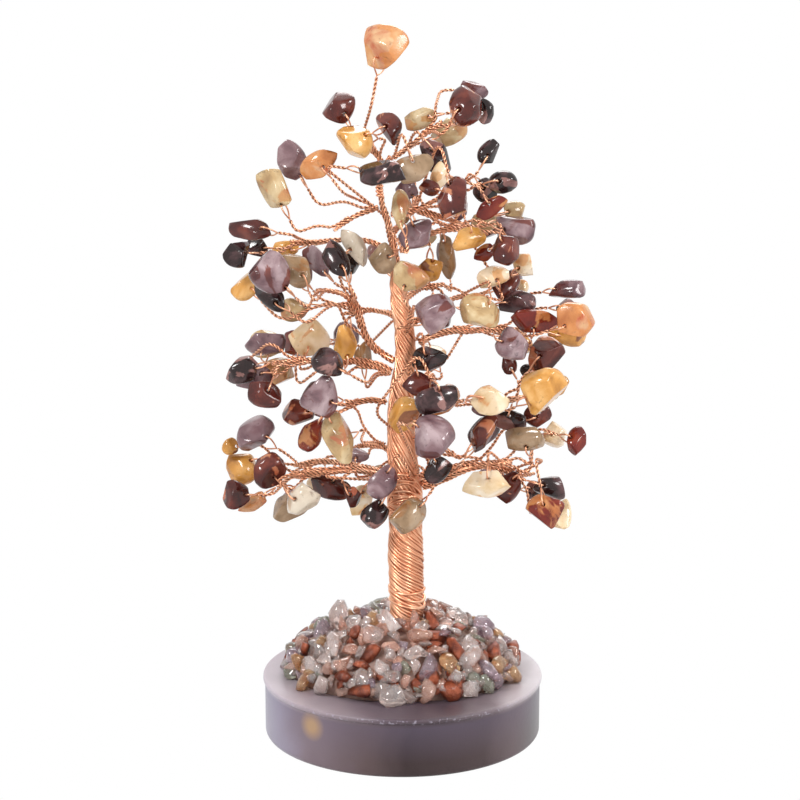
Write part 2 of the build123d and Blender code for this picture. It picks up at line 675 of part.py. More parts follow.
def support(halves, axes, roundness):
    """How far blocks reach along axes, for pairs of blocks."""
    reach = np.abs(np.einsum("kij,kaj->kai", halves, axes))
    power = roundness[:, None]
    return (reach ** power[:, :, None]).sum(2) ** (1 / power)


def pair_gaps(blocks, first, second):
    """The widest gap that any of the tried directions finds between each pair of blocks."""
    centres = np.array([block.centre for block in blocks])
    halves = np.array([block.halves for block in blocks])
    roundness = np.array([block.roundness for block in blocks])
    between = centres[second] - centres[first]
    axes = np.concatenate([between[:, None, :], halves[first], halves[second]], axis=1)
    axes = axes / np.linalg.norm(axes, axis=2)[:, :, None]
    spread = np.abs(np.einsum("kaj,kj->ka", axes, between))
    used = support(halves[first], axes, roundness[first]) + support(halves[second], axes, roundness[second])
    return (spread - used).max(axis=1)


def settle(stones):
    """Move crowding stones apart along the line of sight, so that the photograph's view stays."""
    left_over = 0
    for _ in range(SETTLING_ROUNDS):
        blocks = [block for stone in stones for block in stone.blocks()] + fixed_blocks
        centres = np.array([block.centre for block in blocks])
        reaches = np.array([np.linalg.norm(block.halves) for block in blocks])
        movable = 2 * len(stones)
        distance = np.linalg.norm(centres[:movable, None] - centres[None], axis=2)
        near = distance < reaches[:movable, None] + reaches[None] + STONE_CLEARANCE
        first, second = np.nonzero(near)
        keep = (first < second) & ((second >= movable) | (first // 2 != second // 2))
        first, second = first[keep], second[keep]
        gaps = pair_gaps(blocks, first, second)
        moves = np.zeros(len(stones))
        left_over = 0
        for i, j, gap in zip(first, second, gaps):
            if gap >= STONE_CLEARANCE:
                continue
            left_over += 1
            push = (STONE_CLEARANCE - gap) * SETTLING_STEP_SHARE
            behind = 1.0 if centres[i][1] > centres[j][1] else -1.0
            moves[i // 2] += behind * push / (1 if j >= movable else 2)
            if j < movable:
                moves[j // 2] -= behind * push / 2
        if not left_over:
            break
        for stone, move in zip(stones, moves):
            stone.centre = stone.centre + unit(stone.ray) * max(-SETTLING_STRIDE, min(SETTLING_STRIDE, move))
    return left_over


crowded = settle(stones)
print("pairs still crowded after settling:", crowded)


def rounded_samples(points):
    """Points along a route of runs whose corners are rounded off."""
    points = np.array(points)
    pieces = [points[0]]
    for i in range(1, len(points) - 1):
        back = points[i - 1] - points[i]
        on = points[i + 1] - points[i]
        reach = TWIG_CORNER_SHARE * min(np.linalg.norm(back), np.linalg.norm(on))
        start = points[i] + unit(back) * reach
        end = points[i] + unit(on) * reach
        for t in (0.0, 0.25, 0.5, 0.75, 1.0):
            pieces.append((1 - t) ** 2 * start + 2 * t * (1 - t) * points[i] + t**2 * end)
    pieces.append(points[-1])
    pieces = np.array(pieces)
    lengths = np.concatenate([[0], np.cumsum(np.linalg.norm(np.diff(pieces, axis=0), axis=1))])
    count = max(TWIG_SAMPLES, int(lengths[-1] / TWIG_SAMPLE_SPACING))
    spots = np.linspace(0, lengths[-1], count)
    return np.column_stack([np.interp(spots, lengths, pieces[:, i]) for i in range(3)])


class Surroundings:
    """Everything that a twig has to keep clear of."""

    def __init__(self, stones, bundles):
        blocks = [block for stone in stones for block in stone.blocks()]
        self.owners = np.array([block.owner.number for block in blocks])
        self.centres = np.array([block.centre for block in blocks])
        halves = np.array([block.halves for block in blocks])
        self.sizes = np.linalg.norm(halves, axis=2)
        self.axes = halves / self.sizes[:, :, None]
        self.run_starts = np.vstack([bundle.line[:-1] for bundle in bundles])
        self.run_steps = np.vstack([np.diff(bundle.line, axis=0) for bundle in bundles])
        self.run_radii = np.concatenate([bundle.radii[:-1] for bundle in bundles])
        self.run_owners = np.concatenate([[i] * (len(bundle.line) - 1) for i, bundle in enumerate(bundles)])
        self.twigs = np.zeros((0, 3))

    def enters_block(self, samples, chosen, room):
        """Whether samples enter one of the chosen blocks, grown by some room."""
        offsets = samples[:, None, :] - self.centres[chosen][None]
        local = np.abs(np.einsum("skj,kij->ski", offsets, self.axes[chosen]))
        return (((local / (self.sizes[chosen] + room)) ** ENVELOPE_POWER).sum(2) < 1).any()

    def enters_run(self, samples, chosen):
        """Whether samples come too near to one of the chosen runs of the bundles."""
        offsets = samples[:, None, :] - self.run_starts[chosen][None]
        steps = self.run_steps[chosen]
        share = np.clip((offsets * steps).sum(2) / (steps**2).sum(1), 0, 1)
        gaps = np.linalg.norm(offsets - share[:, :, None] * steps, axis=2) - self.run_radii[chosen]
        return (gaps < TWIG_DIAMETER / 2 + WIRE_CLEARANCE).any()

    def clear(self, samples, own_number, own_bundle):
        """Whether a twig through these samples touches nothing."""
        middle = samples.mean(axis=0)
        reach = np.linalg.norm(samples - middle, axis=1).max()
        near_run = np.linalg.norm(self.run_starts - middle, axis=1) < reach + TRUNK_DIAMETER
        own_run = self.run_owners == own_bundle
        if self.enters_run(samples[TWIG_ROOT_SAMPLES:], near_run & own_run):
            return False
        if self.enters_run(samples, near_run & ~own_run):
            return False
        near = np.linalg.norm(self.centres - middle, axis=1) < reach + STONE_LENGTH
        own = self.owners == own_number
        if self.enters_block(samples, near & ~own, TWIG_DIAMETER / 2 + WIRE_CLEARANCE):
            return False
        if self.enters_block(samples[:-TWIG_NECK_SAMPLES], own, TWIG_DIAMETER / 2):
            return False
        near_twigs = self.twigs[np.linalg.norm(self.twigs - middle, axis=1) < reach + TWIG_DIAMETER * 2]
        if not len(near_twigs):
            return True
        gaps = np.linalg.norm(samples[:, None] - near_twigs[None], axis=2)
        return gaps.min() > TWIG_DIAMETER + TWIG_SPACING


def corner_radius(before, corner, after):
    """The radius of the largest arc that the two runs at a corner allow, or none for a straight one."""
    back = before - corner
    on = after - corner
    turn = pi - np.arccos(np.clip(np.dot(unit(back), unit(on)), -1, 1))
    if turn < radians(STRAIGHT_ANGLE):
        return None
    return TWIG_CORNER_SHARE * min(np.linalg.norm(back), np.linalg.norm(on)) / tan(turn / 2)


def twig_routes(stone, bundle):
    """Routes from a bundle to a stone's neck, the most natural one first."""
    target = stone.neck + stone.out * NECK_GAP
    lengths = np.concatenate([[0], np.cumsum(np.linalg.norm(np.diff(bundle.line, axis=0), axis=1))])
    offsets = target - bundle.line
    aside = np.linalg.norm(offsets - (offsets * bundle.along).sum(1)[:, None] * bundle.along, axis=1)
    ahead = (offsets * bundle.along).sum(1)
    slant = np.abs(ahead - TWIG_AHEAD_SHARE * aside)
    best = int(np.argmin(slant + TWIG_REACH_WEIGHT_SHARE * np.linalg.norm(offsets, axis=1)))
    for station_share in STATION_SHARES:
        spot = lengths[best] + station_share * lengths[-1]
        if not -PLACE_TOLERANCE <= spot <= lengths[-1] + PLACE_TOLERANCE:
            continue
        root = np.array([np.interp(spot, lengths, bundle.line[:, i]) for i in range(3)])
        along = unit([np.interp(spot, lengths, bundle.along[:, i]) for i in range(3)])
        radius = float(np.interp(spot, lengths, bundle.radii))
        outward = target - root
        outward = outward - np.dot(outward, along) * along
        if np.linalg.norm(outward) < PLACE_TOLERANCE:
            outward = np.cross(along, VIEW_FORWARD)
        outward = unit(outward)
        sideways = np.cross(along, outward)
        for swing in SWING_ANGLES:
            radial = cos(radians(swing)) * outward + sin(radians(swing)) * sideways
            leaving = unit(radial + LEAVING_SHARE * along)
            lift = TWIG_DIAMETER / 2 * sqrt(1 - float(np.dot(leaving, radial)) ** 2)
            start = root + radial * (radius + lift + WIRE_CLEARANCE)
            span = np.linalg.norm(target - start)
            for reach_share in REACH_SHARES:
                reach = max(reach_share * span, TWIG_DIAMETER)
                route = [start, start + leaving * reach, target + stone.out * reach, target]
                bends = [corner_radius(*route[:3]), corner_radius(*route[1:])]
                if all(bend is None or bend > TWIG_BEND_LEAST for bend in bends):
                    yield route


def grow_twigs(stones, bundles):
    """A clear route for every twig and the bundle it leaves, the shortest twigs first."""
    names = list(bundles)
    around = Surroundings(stones, list(bundles.values()) + [coil.space() for coil in coils.values()])
    routes = {}

    def span(stone, name):
        return np.linalg.norm(bundles[name].line - stone.neck, axis=1).min()

    for stone in sorted(stones, key=lambda item: span(item, item.limb)):
        nearest = sorted(names, key=lambda name: span(stone, name))
        for name in [stone.limb] + nearest[:NEAREST_BUNDLES]:
            for route in twig_routes(stone, bundles[name]):
                samples = rounded_samples(route)
                if around.clear(samples, stone.number, names.index(name)):
                    routes[stone.number] = (name, route)
                    around.twigs = np.vstack([around.twigs, samples])
                    break
            if stone.number in routes:
                break
        else:
            print("no clear way for the twig of stone", stone.number)
    return routes


twig_routes_found = grow_twigs(stones, bundles)


def save(part, name):
    """Write one finished piece under its name."""
    part.part.label = name
    export_step(part.part, f"parts/{name}.step")


def plane_at(point, normal, x_dir=None):
    """A plane at a point, square to a direction."""
    across = None if x_dir is None else tuple(x_dir)
    return Plane(origin=tuple(point), x_dir=across, z_dir=tuple(normal))


# The base: a cast puck and the thinner pour on top, whose rim stands proud of the side
rim_bottom = BASE_HEIGHT - RIM_THICKNESS
with BuildPart() as base_disc:
    with BuildSketch(Plane.XY):
        Circle(BASE_DIAMETER / 2 - RIM_OVERHANG)
    extrude(amount=rim_bottom - RIM_SEAT_GAP)
    fillet(base_disc.edges().group_by(Axis.Z)[0], radius=BASE_EDGE_ROUNDING)
save(base_disc, "base_disc")

with BuildPart() as base_rim:
    with BuildSketch(Plane.XY.offset(rim_bottom)):
        Circle(BASE_DIAMETER / 2)
    extrude(amount=RIM_THICKNESS)
    fillet(base_rim.edges().filter_by(GeomType.CIRCLE), radius=RIM_ROUNDING)
save(base_rim, "base_rim")


# The gravel: a dome of glue, and chips in rings over it
mound_centre = np.array([0.0, MOUND_CENTRE_SETBACK, BASE_TOP + MOUND_LIFT])
mound_reach = np.array([MOUND_REACH_SIDEWAYS, MOUND_REACH_FORWARD, MOUND_HEIGHT])
chip_sink = CHIP_THICKNESS / 2 + CHIP_SEAT_GAP
glue_reach = mound_reach - chip_sink

with BuildPart() as glue_mound:
    with BuildSketch(Plane.XY.offset(BASE_TOP)):
        with Locations((0, MOUND_CENTRE_SETBACK)):
            Ellipse(glue_reach[0], glue_reach[1])
    for angle in GLUE_ANGLES:
        level = mound_centre[2] + glue_reach[2] * cos(radians(angle))
        with BuildSketch(Plane.XY.offset(level)):
            with Locations((0, MOUND_CENTRE_SETBACK)):
                Ellipse(glue_reach[0] * sin(radians(angle)), glue_reach[1] * sin(radians(angle)))
    loft()
    with BuildSketch(Plane.XY.offset(BASE_TOP)):
        with Locations((trunk_foot[0], trunk_foot[1])):
            Circle(max(trunk.radii) + GLUE_BORE_CLEARANCE)
    extrude(amount=MOUND_HEIGHT + MOUND_LIFT, mode=Mode.SUBTRACT)
save(glue_mound, "glue_mound")


def pebble(centre, axes, sides, outline, profile):
    """A tumbled stone, lofted along its long side through rounded outlines."""
    with BuildPart() as stone:
        for spot, breadth in profile:
            section = plane_at(centre + axes[0] * spot * sides[0], axes[0], axes[1])
            with BuildSketch(section):
                with BuildLine():
                    Spline(
                        [(x * sides[1] * breadth, y * sides[2] * breadth) for x, y in outline],
                        periodic=True,
                    )
                make_face()
        loft(clean=False)
    return stone


def chip_places():
    """Where each chip of gravel lies, ring by ring from the trunk down."""
    meridian = pi / 2 * sqrt((mound_reach[1] ** 2 + mound_reach[2] ** 2) / 2)
    first = TRUNK_DIAMETER / 2 + CHIP_WIDTH
    start = np.arcsin(first / mound_reach[1])
    stop = radians(MOUND_EDGE_ANGLE)
    rings = int((stop - start) * meridian / (pi / 2) / (CHIP_WIDTH + CHIP_SIDE_SPACE)) + 1
    places = []
    for ring in range(rings):
        angle = start + (stop - start) * ring / (rings - 1)
        reach = mound_reach * sin(angle)
        wide, deep = reach[0], reach[1]
        perimeter = pi * (3 * (wide + deep) - sqrt((3 * wide + deep) * (wide + 3 * deep)))
        count = int(perimeter / (CHIP_LENGTH + CHIP_SIDE_SPACE))
        for i in range(count):
            turn = 2 * pi * (i + CHIP_RING_SHIFT_SHARE * ring) / count
            spot = mound_centre + mound_reach * [sin(angle) * cos(turn), sin(angle) * sin(turn), cos(angle)]
            normal = unit((spot - mound_centre) / mound_reach**2)
            around = unit(np.cross([0, 0, 1], normal))
            places.append((spot, around, normal))
    return places


def lay_chips():
    """The gravel chips, sorted by kind."""
    yaw_rhythm, length_rhythm, width_rhythm, thickness_rhythm = CHIP_RHYTHMS
    side_play = 1 - CHIP_SIDE_LEAST_SHARE
    thickness_play = 1 - CHIP_THICKNESS_LEAST_SHARE
    chips = {}
    for i, (spot, around, normal) in enumerate(chip_places()):
        yaw = radians(CHIP_YAW * sin(yaw_rhythm * i))
        along = cos(yaw) * around + sin(yaw) * np.cross(normal, around)
        axes = (along, np.cross(normal, along))
        sides = (
            CHIP_LENGTH * (CHIP_SIDE_LEAST_SHARE + side_play * sin(length_rhythm * i)),
            CHIP_WIDTH * (CHIP_SIDE_LEAST_SHARE + side_play * cos(width_rhythm * i)),
            CHIP_THICKNESS * (CHIP_THICKNESS_LEAST_SHARE + thickness_play * sin(thickness_rhythm * i)),
        )
        chip = pebble(spot, axes, sides, OUTLINE_SHARES[i % len(OUTLINE_SHARES)], CHIP_PROFILE_SHARES)
        chips.setdefault(CHIP_KINDS[i * CHIP_KIND_STRIDE % len(CHIP_KINDS)], []).append(chip.part)
    return chips


for kind, parts in lay_chips().items():
    with BuildPart() as chips:
        add(parts)
    save(chips, f"gravel_{kind}")


def bundle_solid(bundle):
    """A tapered bundle of wires, lofted through circles along its centre line."""
    spots = list(range(0, len(bundle.line) - 1, 2)) + [len(bundle.line) - 1]
    with BuildPart() as solid:
        for spot in spots:
            with BuildSketch(plane_at(bundle.line[spot], bundle.along[spot])):
                Circle(bundle.radii[spot])
        loft(clean=False)
    return solid


save(bundle_solid(trunk), "trunk")


def winding_solid(coil):
    """A wound wire as one unbroken tube, each quarter turn a pair of tangent arcs."""
    with BuildPart() as tube:
        with BuildLine() as path:
            for quarter in range(4 * coil.turns):
                start, leaving = coil.point(quarter / 4)
                end, arriving = coil.point((quarter + 1) / 4)
                step = end - start
                both = float(np.dot(step, leaving + arriving))
                spread = 2 * (1 - float(np.dot(leaving, arriving)))
                reach = (sqrt(both**2 + spread * float(np.dot(step, step))) - both) / spread
                knee = start + reach * leaving
                elbow = end - reach * arriving
                middle = (knee + elbow) / 2
                TangentArc(tuple(start), tuple(middle), tangent=tuple(leaving))
                TangentArc(tuple(middle), tuple(end), tangent=tuple(unit(elbow - knee)))
        start, leaving = coil.point(0)
        with BuildSketch(plane_at(start, leaving)):
            Circle(WIRE_DIAMETER / 2)
        sweep(path=path.wire(), clean=False)
    return tube


def least_gap(coil):
    """The least gap between two turns of a winding, measured on points."""
    samples = COIL_GAP_SAMPLES * coil.turns + 1
    points = np.array([coil.point(i / COIL_GAP_SAMPLES)[0] for i in range(samples)])
    apart = np.linalg.norm(points[:, None] - points[None], axis=2)
    counts = np.arange(len(points))
    other_turn = np.abs(counts[:, None] - counts[None]) > COIL_GAP_SAMPLES / 2
    return float(apart[other_turn].min()) - WIRE_DIAMETER


for name, coil in coils.items():
    save(winding_solid(coil), name)
    print("least gap between the turns of", name, round(least_gap(coil), 2))


def twig_solid(route):
    """A twisted pair of wires as one round tube of straight runs and tangent arcs."""
    points = [route[0]]
    radii = []
    for i in range(1, len(route) - 1):
        radius = corner_radius(points[-1], route[i], route[i + 1])
        if radius is not None:
            points.append(route[i])
            radii.append(radius)
    points.append(route[-1])
    with BuildPart() as twig:
        with BuildLine() as path:
            if radii:
                FilletPolyline([tuple(point) for point in points], radius=radii)
            else:
                Line(tuple(points[0]), tuple(points[-1]))
        wire = path.wire()
        with BuildSketch(Plane(origin=wire @ 0, z_dir=wire % 0)):
            Circle(TWIG_DIAMETER / 2)
        sweep(path=wire, clean=False)
    return twig


def loop_solid(stone):
    """The wire loop that ties a stone: over its face, through its hole and back under it."""
    height = stone.thickness / 2 + LOOP_STANDOFF
    edge = stone.half_out + LOOP_STANDOFF
    hole = stone.half_out - stone.inset
    corners = [
        stone.neck,
        stone.centre + stone.out * edge + stone.c * height,
        stone.centre + stone.out * hole + stone.c * height,
        stone.centre + stone.out * hole - stone.c * height,
        stone.centre + stone.out * edge - stone.c * height,
    ]
    with BuildPart() as loop:
        with BuildLine() as path:
            FilletPolyline([tuple(corner) for corner in corners], radius=LOOP_CORNER_RADIUS, close=True)
        wire = path.wire()
        with BuildSketch(Plane(origin=wire @ 0, z_dir=wire % 0)):
            Circle(WIRE_DIAMETER / 2)
        sweep(path=wire, clean=False)
    return loop


def stone_solid(stone):
    """A drilled stone."""
    sides = (stone.length, stone.width, stone.thickness)
    outline = OUTLINE_SHARES[stone.number % len(OUTLINE_SHARES)]
    profile = PROFILE_SHARES[stone.number * 2 % len(PROFILE_SHARES)]
    blank = pebble(stone.centre, (stone.a, stone.b), sides, outline, profile)
    with BuildPart() as drilled:
        add(blank.part)
        with BuildSketch(plane_at(stone.hole - stone.c * stone.thickness, stone.c)):
            Circle(HOLE_DIAMETER / 2)
        extrude(amount=2 * stone.thickness, mode=Mode.SUBTRACT, clean=False)
    return drilled


WIRE_NODES = {"trunk": "trunk_twigs", "leader": "leader"}
wires = {name: [] for name in bundles}
for stone in stones:
    if stone.number in twig_routes_found:
        name, route = twig_routes_found[stone.number]
        wires[name].append(twig_solid(route).part)
        wires[name].append(loop_solid(stone).part)

for name, parts in wires.items():
    with BuildPart() as limb:
        if name != "trunk":
            add(bundle_solid(bundles[name]).part)
        add(parts)
    save(limb, WIRE_NODES.get(name, f"limb_{name}"))

groups = {}
for stone in stones:
    solid = stone_solid(stone).part
    if stone.loose:
        with BuildPart() as single:
            add(solid)
        save(single, LOOSE_STONES[stone.number])
    else:
        groups.setdefault(stone.kind, []).append(solid)

for kind, parts in groups.items():
    with BuildPart() as group:
        add(parts)
    save(group, f"stones_{kind}")
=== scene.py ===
import json
from math import cos, pi, radians, sin

import bmesh
import bpy
import numpy as np
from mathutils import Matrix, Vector

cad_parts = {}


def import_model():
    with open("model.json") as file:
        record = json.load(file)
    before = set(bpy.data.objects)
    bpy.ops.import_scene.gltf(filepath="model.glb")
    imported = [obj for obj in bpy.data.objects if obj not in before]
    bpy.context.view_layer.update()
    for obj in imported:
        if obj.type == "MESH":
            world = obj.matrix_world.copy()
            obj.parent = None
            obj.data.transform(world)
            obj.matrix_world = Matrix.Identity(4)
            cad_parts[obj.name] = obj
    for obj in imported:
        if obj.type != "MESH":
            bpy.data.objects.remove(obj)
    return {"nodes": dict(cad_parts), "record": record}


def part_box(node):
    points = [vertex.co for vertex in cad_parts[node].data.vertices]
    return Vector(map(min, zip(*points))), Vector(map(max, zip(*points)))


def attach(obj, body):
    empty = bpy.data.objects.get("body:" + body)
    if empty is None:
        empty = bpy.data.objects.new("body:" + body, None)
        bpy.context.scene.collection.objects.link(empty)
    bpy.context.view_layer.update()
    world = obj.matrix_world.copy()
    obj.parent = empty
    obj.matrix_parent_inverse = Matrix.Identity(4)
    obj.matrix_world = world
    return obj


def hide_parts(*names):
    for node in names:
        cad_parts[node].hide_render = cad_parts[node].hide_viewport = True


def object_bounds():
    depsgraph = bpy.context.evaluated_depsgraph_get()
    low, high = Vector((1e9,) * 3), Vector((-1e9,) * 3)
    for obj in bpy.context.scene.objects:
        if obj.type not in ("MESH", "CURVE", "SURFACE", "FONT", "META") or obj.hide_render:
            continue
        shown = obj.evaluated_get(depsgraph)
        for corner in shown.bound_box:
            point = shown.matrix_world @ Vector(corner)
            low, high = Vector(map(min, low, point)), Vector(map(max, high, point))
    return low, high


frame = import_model()
cad_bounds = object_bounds()
nodes = frame["nodes"]

# Wires, in metres: radii, the length of one turn, and the steps between the points of a line
WIRE_RADIUS = 0.000225
TRUNK_WIRE_RADIUS = 0.00039
TWIG_RADIUS = 0.00045
BUNDLE_LEAST = 1.12 * TWIG_RADIUS
CORE_LEAST = 0.0002
WIRE_SIDES = 6
THICK_SIDES = 8
PAIR_PITCH = 0.0025
PAIR_ROOM = 2.1 * TWIG_RADIUS
TRUNK_WIRE_ROOM = 2.06 * TRUNK_WIRE_RADIUS
LIMB_LAY = 0.026
LONG_LAY = 0.060
WIRE_STEP = 0.00032
TRUNK_STEP = 0.0004

# How far a wire in a bundle strays, in radians round it or in metres inward, and one radian of that wave
LIMB_STRAY = 0.45
LIMB_WAVE = 0.005
TRUNK_STRAY = 0.06
TRUNK_WAVE = 0.009
TRUNK_DIP = 0.00020
DIP_WAVE = 0.008

# A bundle narrows to a share of itself over its last stretch
TIP_LENGTH = 0.005
TIP_SHARE = 0.3

# How far a twig's wires run on along the bundle that they leave
ROOT_LENGTH = 0.006

# Half the outline of a wire loop: shares of the way from its far side to its neck, and of its half width
LOOP_SHAPE = ((1.0, 0.0), (0.70, 0.62), (0.40, 0.97), (0.10, 0.92), (0.0, 0.55))

# The trunk: heights where its layers of wire meet, how deep their ends dive, and the wraps at the fork
TRUNK_MIDDLE = 0.056
TRUNK_UPPER = 0.082
LAYER_DIVE = 0.0009
FORK_WRAPS = ((0.0590, 0.0660, 0.0050), (0.0605, 0.0700, 0.0066))
WRAP_TURNS = 5
WRAP_SLANT = -0.0006
TRUNK_CORE_DROP = 0.0006

# A wound wire: points on each turn, how deep it beds into its stem, and the way that it leans
TURN_POINTS = 48
WIRE_BED = 0.1
LEAN_ANGLE = 0.5

# How the tubes of the frame are read: grids in steps for each unit, lengths in metres, reaches in radii
MERGE_GRID = 1e7
NORMAL_GRID = 400
PLANE_GRID = 4e5
PLANES_TRIED = 60
PLANE_SLACK = 6e-6
DISC_CORNERS = 12
DISC_MOST = 0.006
ROUND_SLACK = 0.04
RING_REACH = 2.2
CUT_STEP = 0.0012
CUT_CORNERS = 8
CUT_REACH = 1.9
CUT_MOST = 1.6
LOOP_CORNERS = 500

# Stones, in metres or as shares of a stone's size: 8 to 10 facets, the first two of them deeper
STONE_VOXEL = 0.00040
FIXED_SWELL = 1.12
LOOSE_SWELL = 1.06
FACETS = (8, 11)
DEEP_FACETS = 2
DEEP_FACET = (0.52, 0.64)
FACET = (0.66, 0.90)
FACET_CUT = 0.95
DENTS = 0.06
DENT_REACH = 0.45
FACES_KEPT = 0.5
SEED_STEP = 0.73
BOX_MARGIN = np.array([[0.00005], [-0.00005]])

# The heap of gravel, its chips and the glue under them, in metres or as shares of a chip or the heap
CHIP_REACH = 0.0030
CHIP_SIZES = (0.85, 1.0, 1.15, 1.35)
CHIP_SHIFT = 0.0012
CHIP_LEAN = 0.55
TUMBLED_SHARE = 0.5
BALL_CUTS = 10
BALL_CUT = (0.45, 0.85)
BROKEN_CORNERS = 12
BROKEN_BEVEL = 0.14
HEAP_MIDDLE = (0.0, 0.001)
HEAP_REACH = (0.031, 0.026)
HEAP_HEIGHT = 0.017
HEAP_SLUMP = 0.0024
FILLERS = 2
FILLER_SIZES = (0.50, 0.85)
FILLER_SHARES = (0.38, 0.26, 0.08, 0.14, 0.10, 0.02, 0.02)
FOOT_CHIPS = 12
FOOT_SIZE = 0.9
FOOT_REACH = 0.0062
FOOT_DROP = 0.0022
FRONT_CHIP = (-0.0018, -0.0262)
FRONT_RISE = 0.0020
FRONT_SIZE = 1.35
TRUNK_BORE = 0.0050
GLUE_SIDES = 96
GLUE_ROWS = 25
GLUE_REACH = 0.97
GLUE_RISE = 0.84
GLUE_LUMP = 0.0006
LUMP_REACH = 0.0018
REST_GAP = 0.00002

# The ochre spot inside the resin
RESIN_SPOT = (-0.0235, -0.0286, 0.011)

# The set: the floor, the lamps' name, place, width and power, and the photograph's viewpoint
FLOOR_HALF = 3.0
LAMP_AIM = (0, 0, 0.1)
LAMPS = (
    ("key", (-0.45, -0.55, 0.75), 0.20, 4.6),
    ("fill", (0.55, -0.45, 0.45), 0.20, 2.4),
    ("low_spark", (-0.35, -0.70, 0.22), 0.07, 0.8),
    ("side_spark", (0.65, -0.15, 0.55), 0.09, 1.0),
    ("back", (0.1, 0.6, 0.6), 0.35, 2.0),
)
SENSOR_WIDTH = 36.0
FOCAL_PIXELS = 2340.0
PHOTO_PIXELS = 800.0
CAMERA_PLACE = (-0.00065, -0.600, 0.226)
CAMERA_DROP = 12.68

PROP_BODIES = {}
for body, members in frame["record"]["behaviour"]["bodies"].items():
    for member in members:
        PROP_BODIES[member] = body
slot_of = {row["node"]: row["material_slot"] for row in frame["record"]["subparts"]}
heap_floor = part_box("base_rim")[1][2] + REST_GAP
foot = np.mean(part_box("foot_winding"), axis=0)


# Lines and points

def unit(vector):
    """The vector at length one."""
    vector = np.asarray(vector, dtype=float)
    return vector / np.linalg.norm(vector)


def middle_of(points):
    """The middle of the box round some points."""
    return (points.min(axis=0) + points.max(axis=0)) / 2


def edges_of(faces):
    """The edges of faces that all have the same number of corners, as pairs of corners."""
    count = faces.shape[1]
    return np.vstack([faces[:, [i, (i + 1) % count]] for i in range(count)])


def circle_fit(flat):
    """The centre and the radius of the circle that lies closest to points in a plane."""
    fit = np.linalg.lstsq(np.column_stack([2 * flat, np.ones(len(flat))]), (flat**2).sum(1), rcond=None)[0]
    return fit[:2], float(np.sqrt(fit[2] + (fit[:2] ** 2).sum()))


def lengths_along(line):
    """How far along a line each of its points lies."""
    return np.concatenate([[0], np.cumsum(np.linalg.norm(np.diff(line, axis=0), axis=1))])


def evenly(line, step, values=None):
    """A line with its points spaced evenly, and what goes with them."""
    lengths = lengths_along(line)
    spots = np.linspace(0, lengths[-1], max(4, int(lengths[-1] / step) + 1))
    out = np.column_stack([np.interp(spots, lengths, line[:, i]) for i in range(3)])
    if values is None:
        return out
    return out, np.interp(spots, lengths, values)


def smoothed(line, rounds):
    """A line with its kinks eased, its ends kept."""
    line = line.copy()
    for _ in range(rounds):
        line[1:-1] = (line[:-2] + 2 * line[1:-1] + line[2:]) / 4
    return line


def rounded(line):
    """A line with its corners cut smooth, its ends kept."""
    for _ in range(3):
        nearer = line[:-1] * 0.75 + line[1:] * 0.25
        further = line[:-1] * 0.25 + line[1:] * 0.75
        line = np.vstack([line[:1], np.stack([nearer, further], axis=1).reshape(-1, 3), line[-1:]])
    return line


def at_heights(line, heights):
    """The points of a rising line at some heights."""
    return np.column_stack([np.interp(heights, line[:, 2], line[:, i]) for i in range(3)])


def level_ring(angles):
    """Directions at some angles round the upright."""
    return np.column_stack([np.cos(angles), np.sin(angles), np.zeros(len(angles))])


def cross_directions(line):
    """Two directions square to a line and to each other, carried along it without twist."""
    along = np.gradient(line, axis=0)
    along /= np.linalg.norm(along, axis=1)[:, None]
    side = np.empty_like(line)
    start = np.cross(along[0], [0.0, 1.0, 0.0])
    if np.linalg.norm(start) < 0.1:
        start = np.cross(along[0], [1.0, 0.0, 0.0])
    side[0] = unit(start)
    for i in range(1, len(line)):
        side[i] = unit(side[i - 1] - np.dot(side[i - 1], along[i]) * along[i])
    return side, np.cross(along, side)


# Reading the frame

def corner_points(mesh):
    """The corners of a mesh as rows of numbers."""
    points = np.empty(len(mesh.vertices) * 3)
    mesh.vertices.foreach_get("co", points)
    return points.reshape(-1, 3)


def shells(name):
    """The closed shells of a CAD node, each as points and triangles."""
    mesh = nodes[name].data
    mesh.calc_loop_triangles()
    points = corner_points(mesh)
    triangles = np.empty(len(mesh.loop_triangles) * 3, dtype=int)
    mesh.loop_triangles.foreach_get("vertices", triangles)
    grid = np.round(points * MERGE_GRID).astype(np.int64)
    _, first, merged = np.unique(grid, axis=0, return_index=True, return_inverse=True)
    points = points[first]
    triangles = merged.reshape(-1)[triangles.reshape(-1, 3)]
    triangles = triangles[(triangles != np.roll(triangles, 1, axis=1)).all(axis=1)]
    labels = np.arange(len(points))
    while True:
        lowest = labels[triangles].min(axis=1)
        new = labels.copy()
        for corner in range(3):
            np.minimum.at(new, triangles[:, corner], lowest)
        new = new[new]
        if (new == labels).all():
            break
        labels = new
    found = []
    for label in np.unique(labels[triangles]):
        chosen = labels == label
        renumber = np.cumsum(chosen) - 1
        found.append((points[chosen], renumber[triangles[chosen[triangles[:, 0]]]]))
    return found


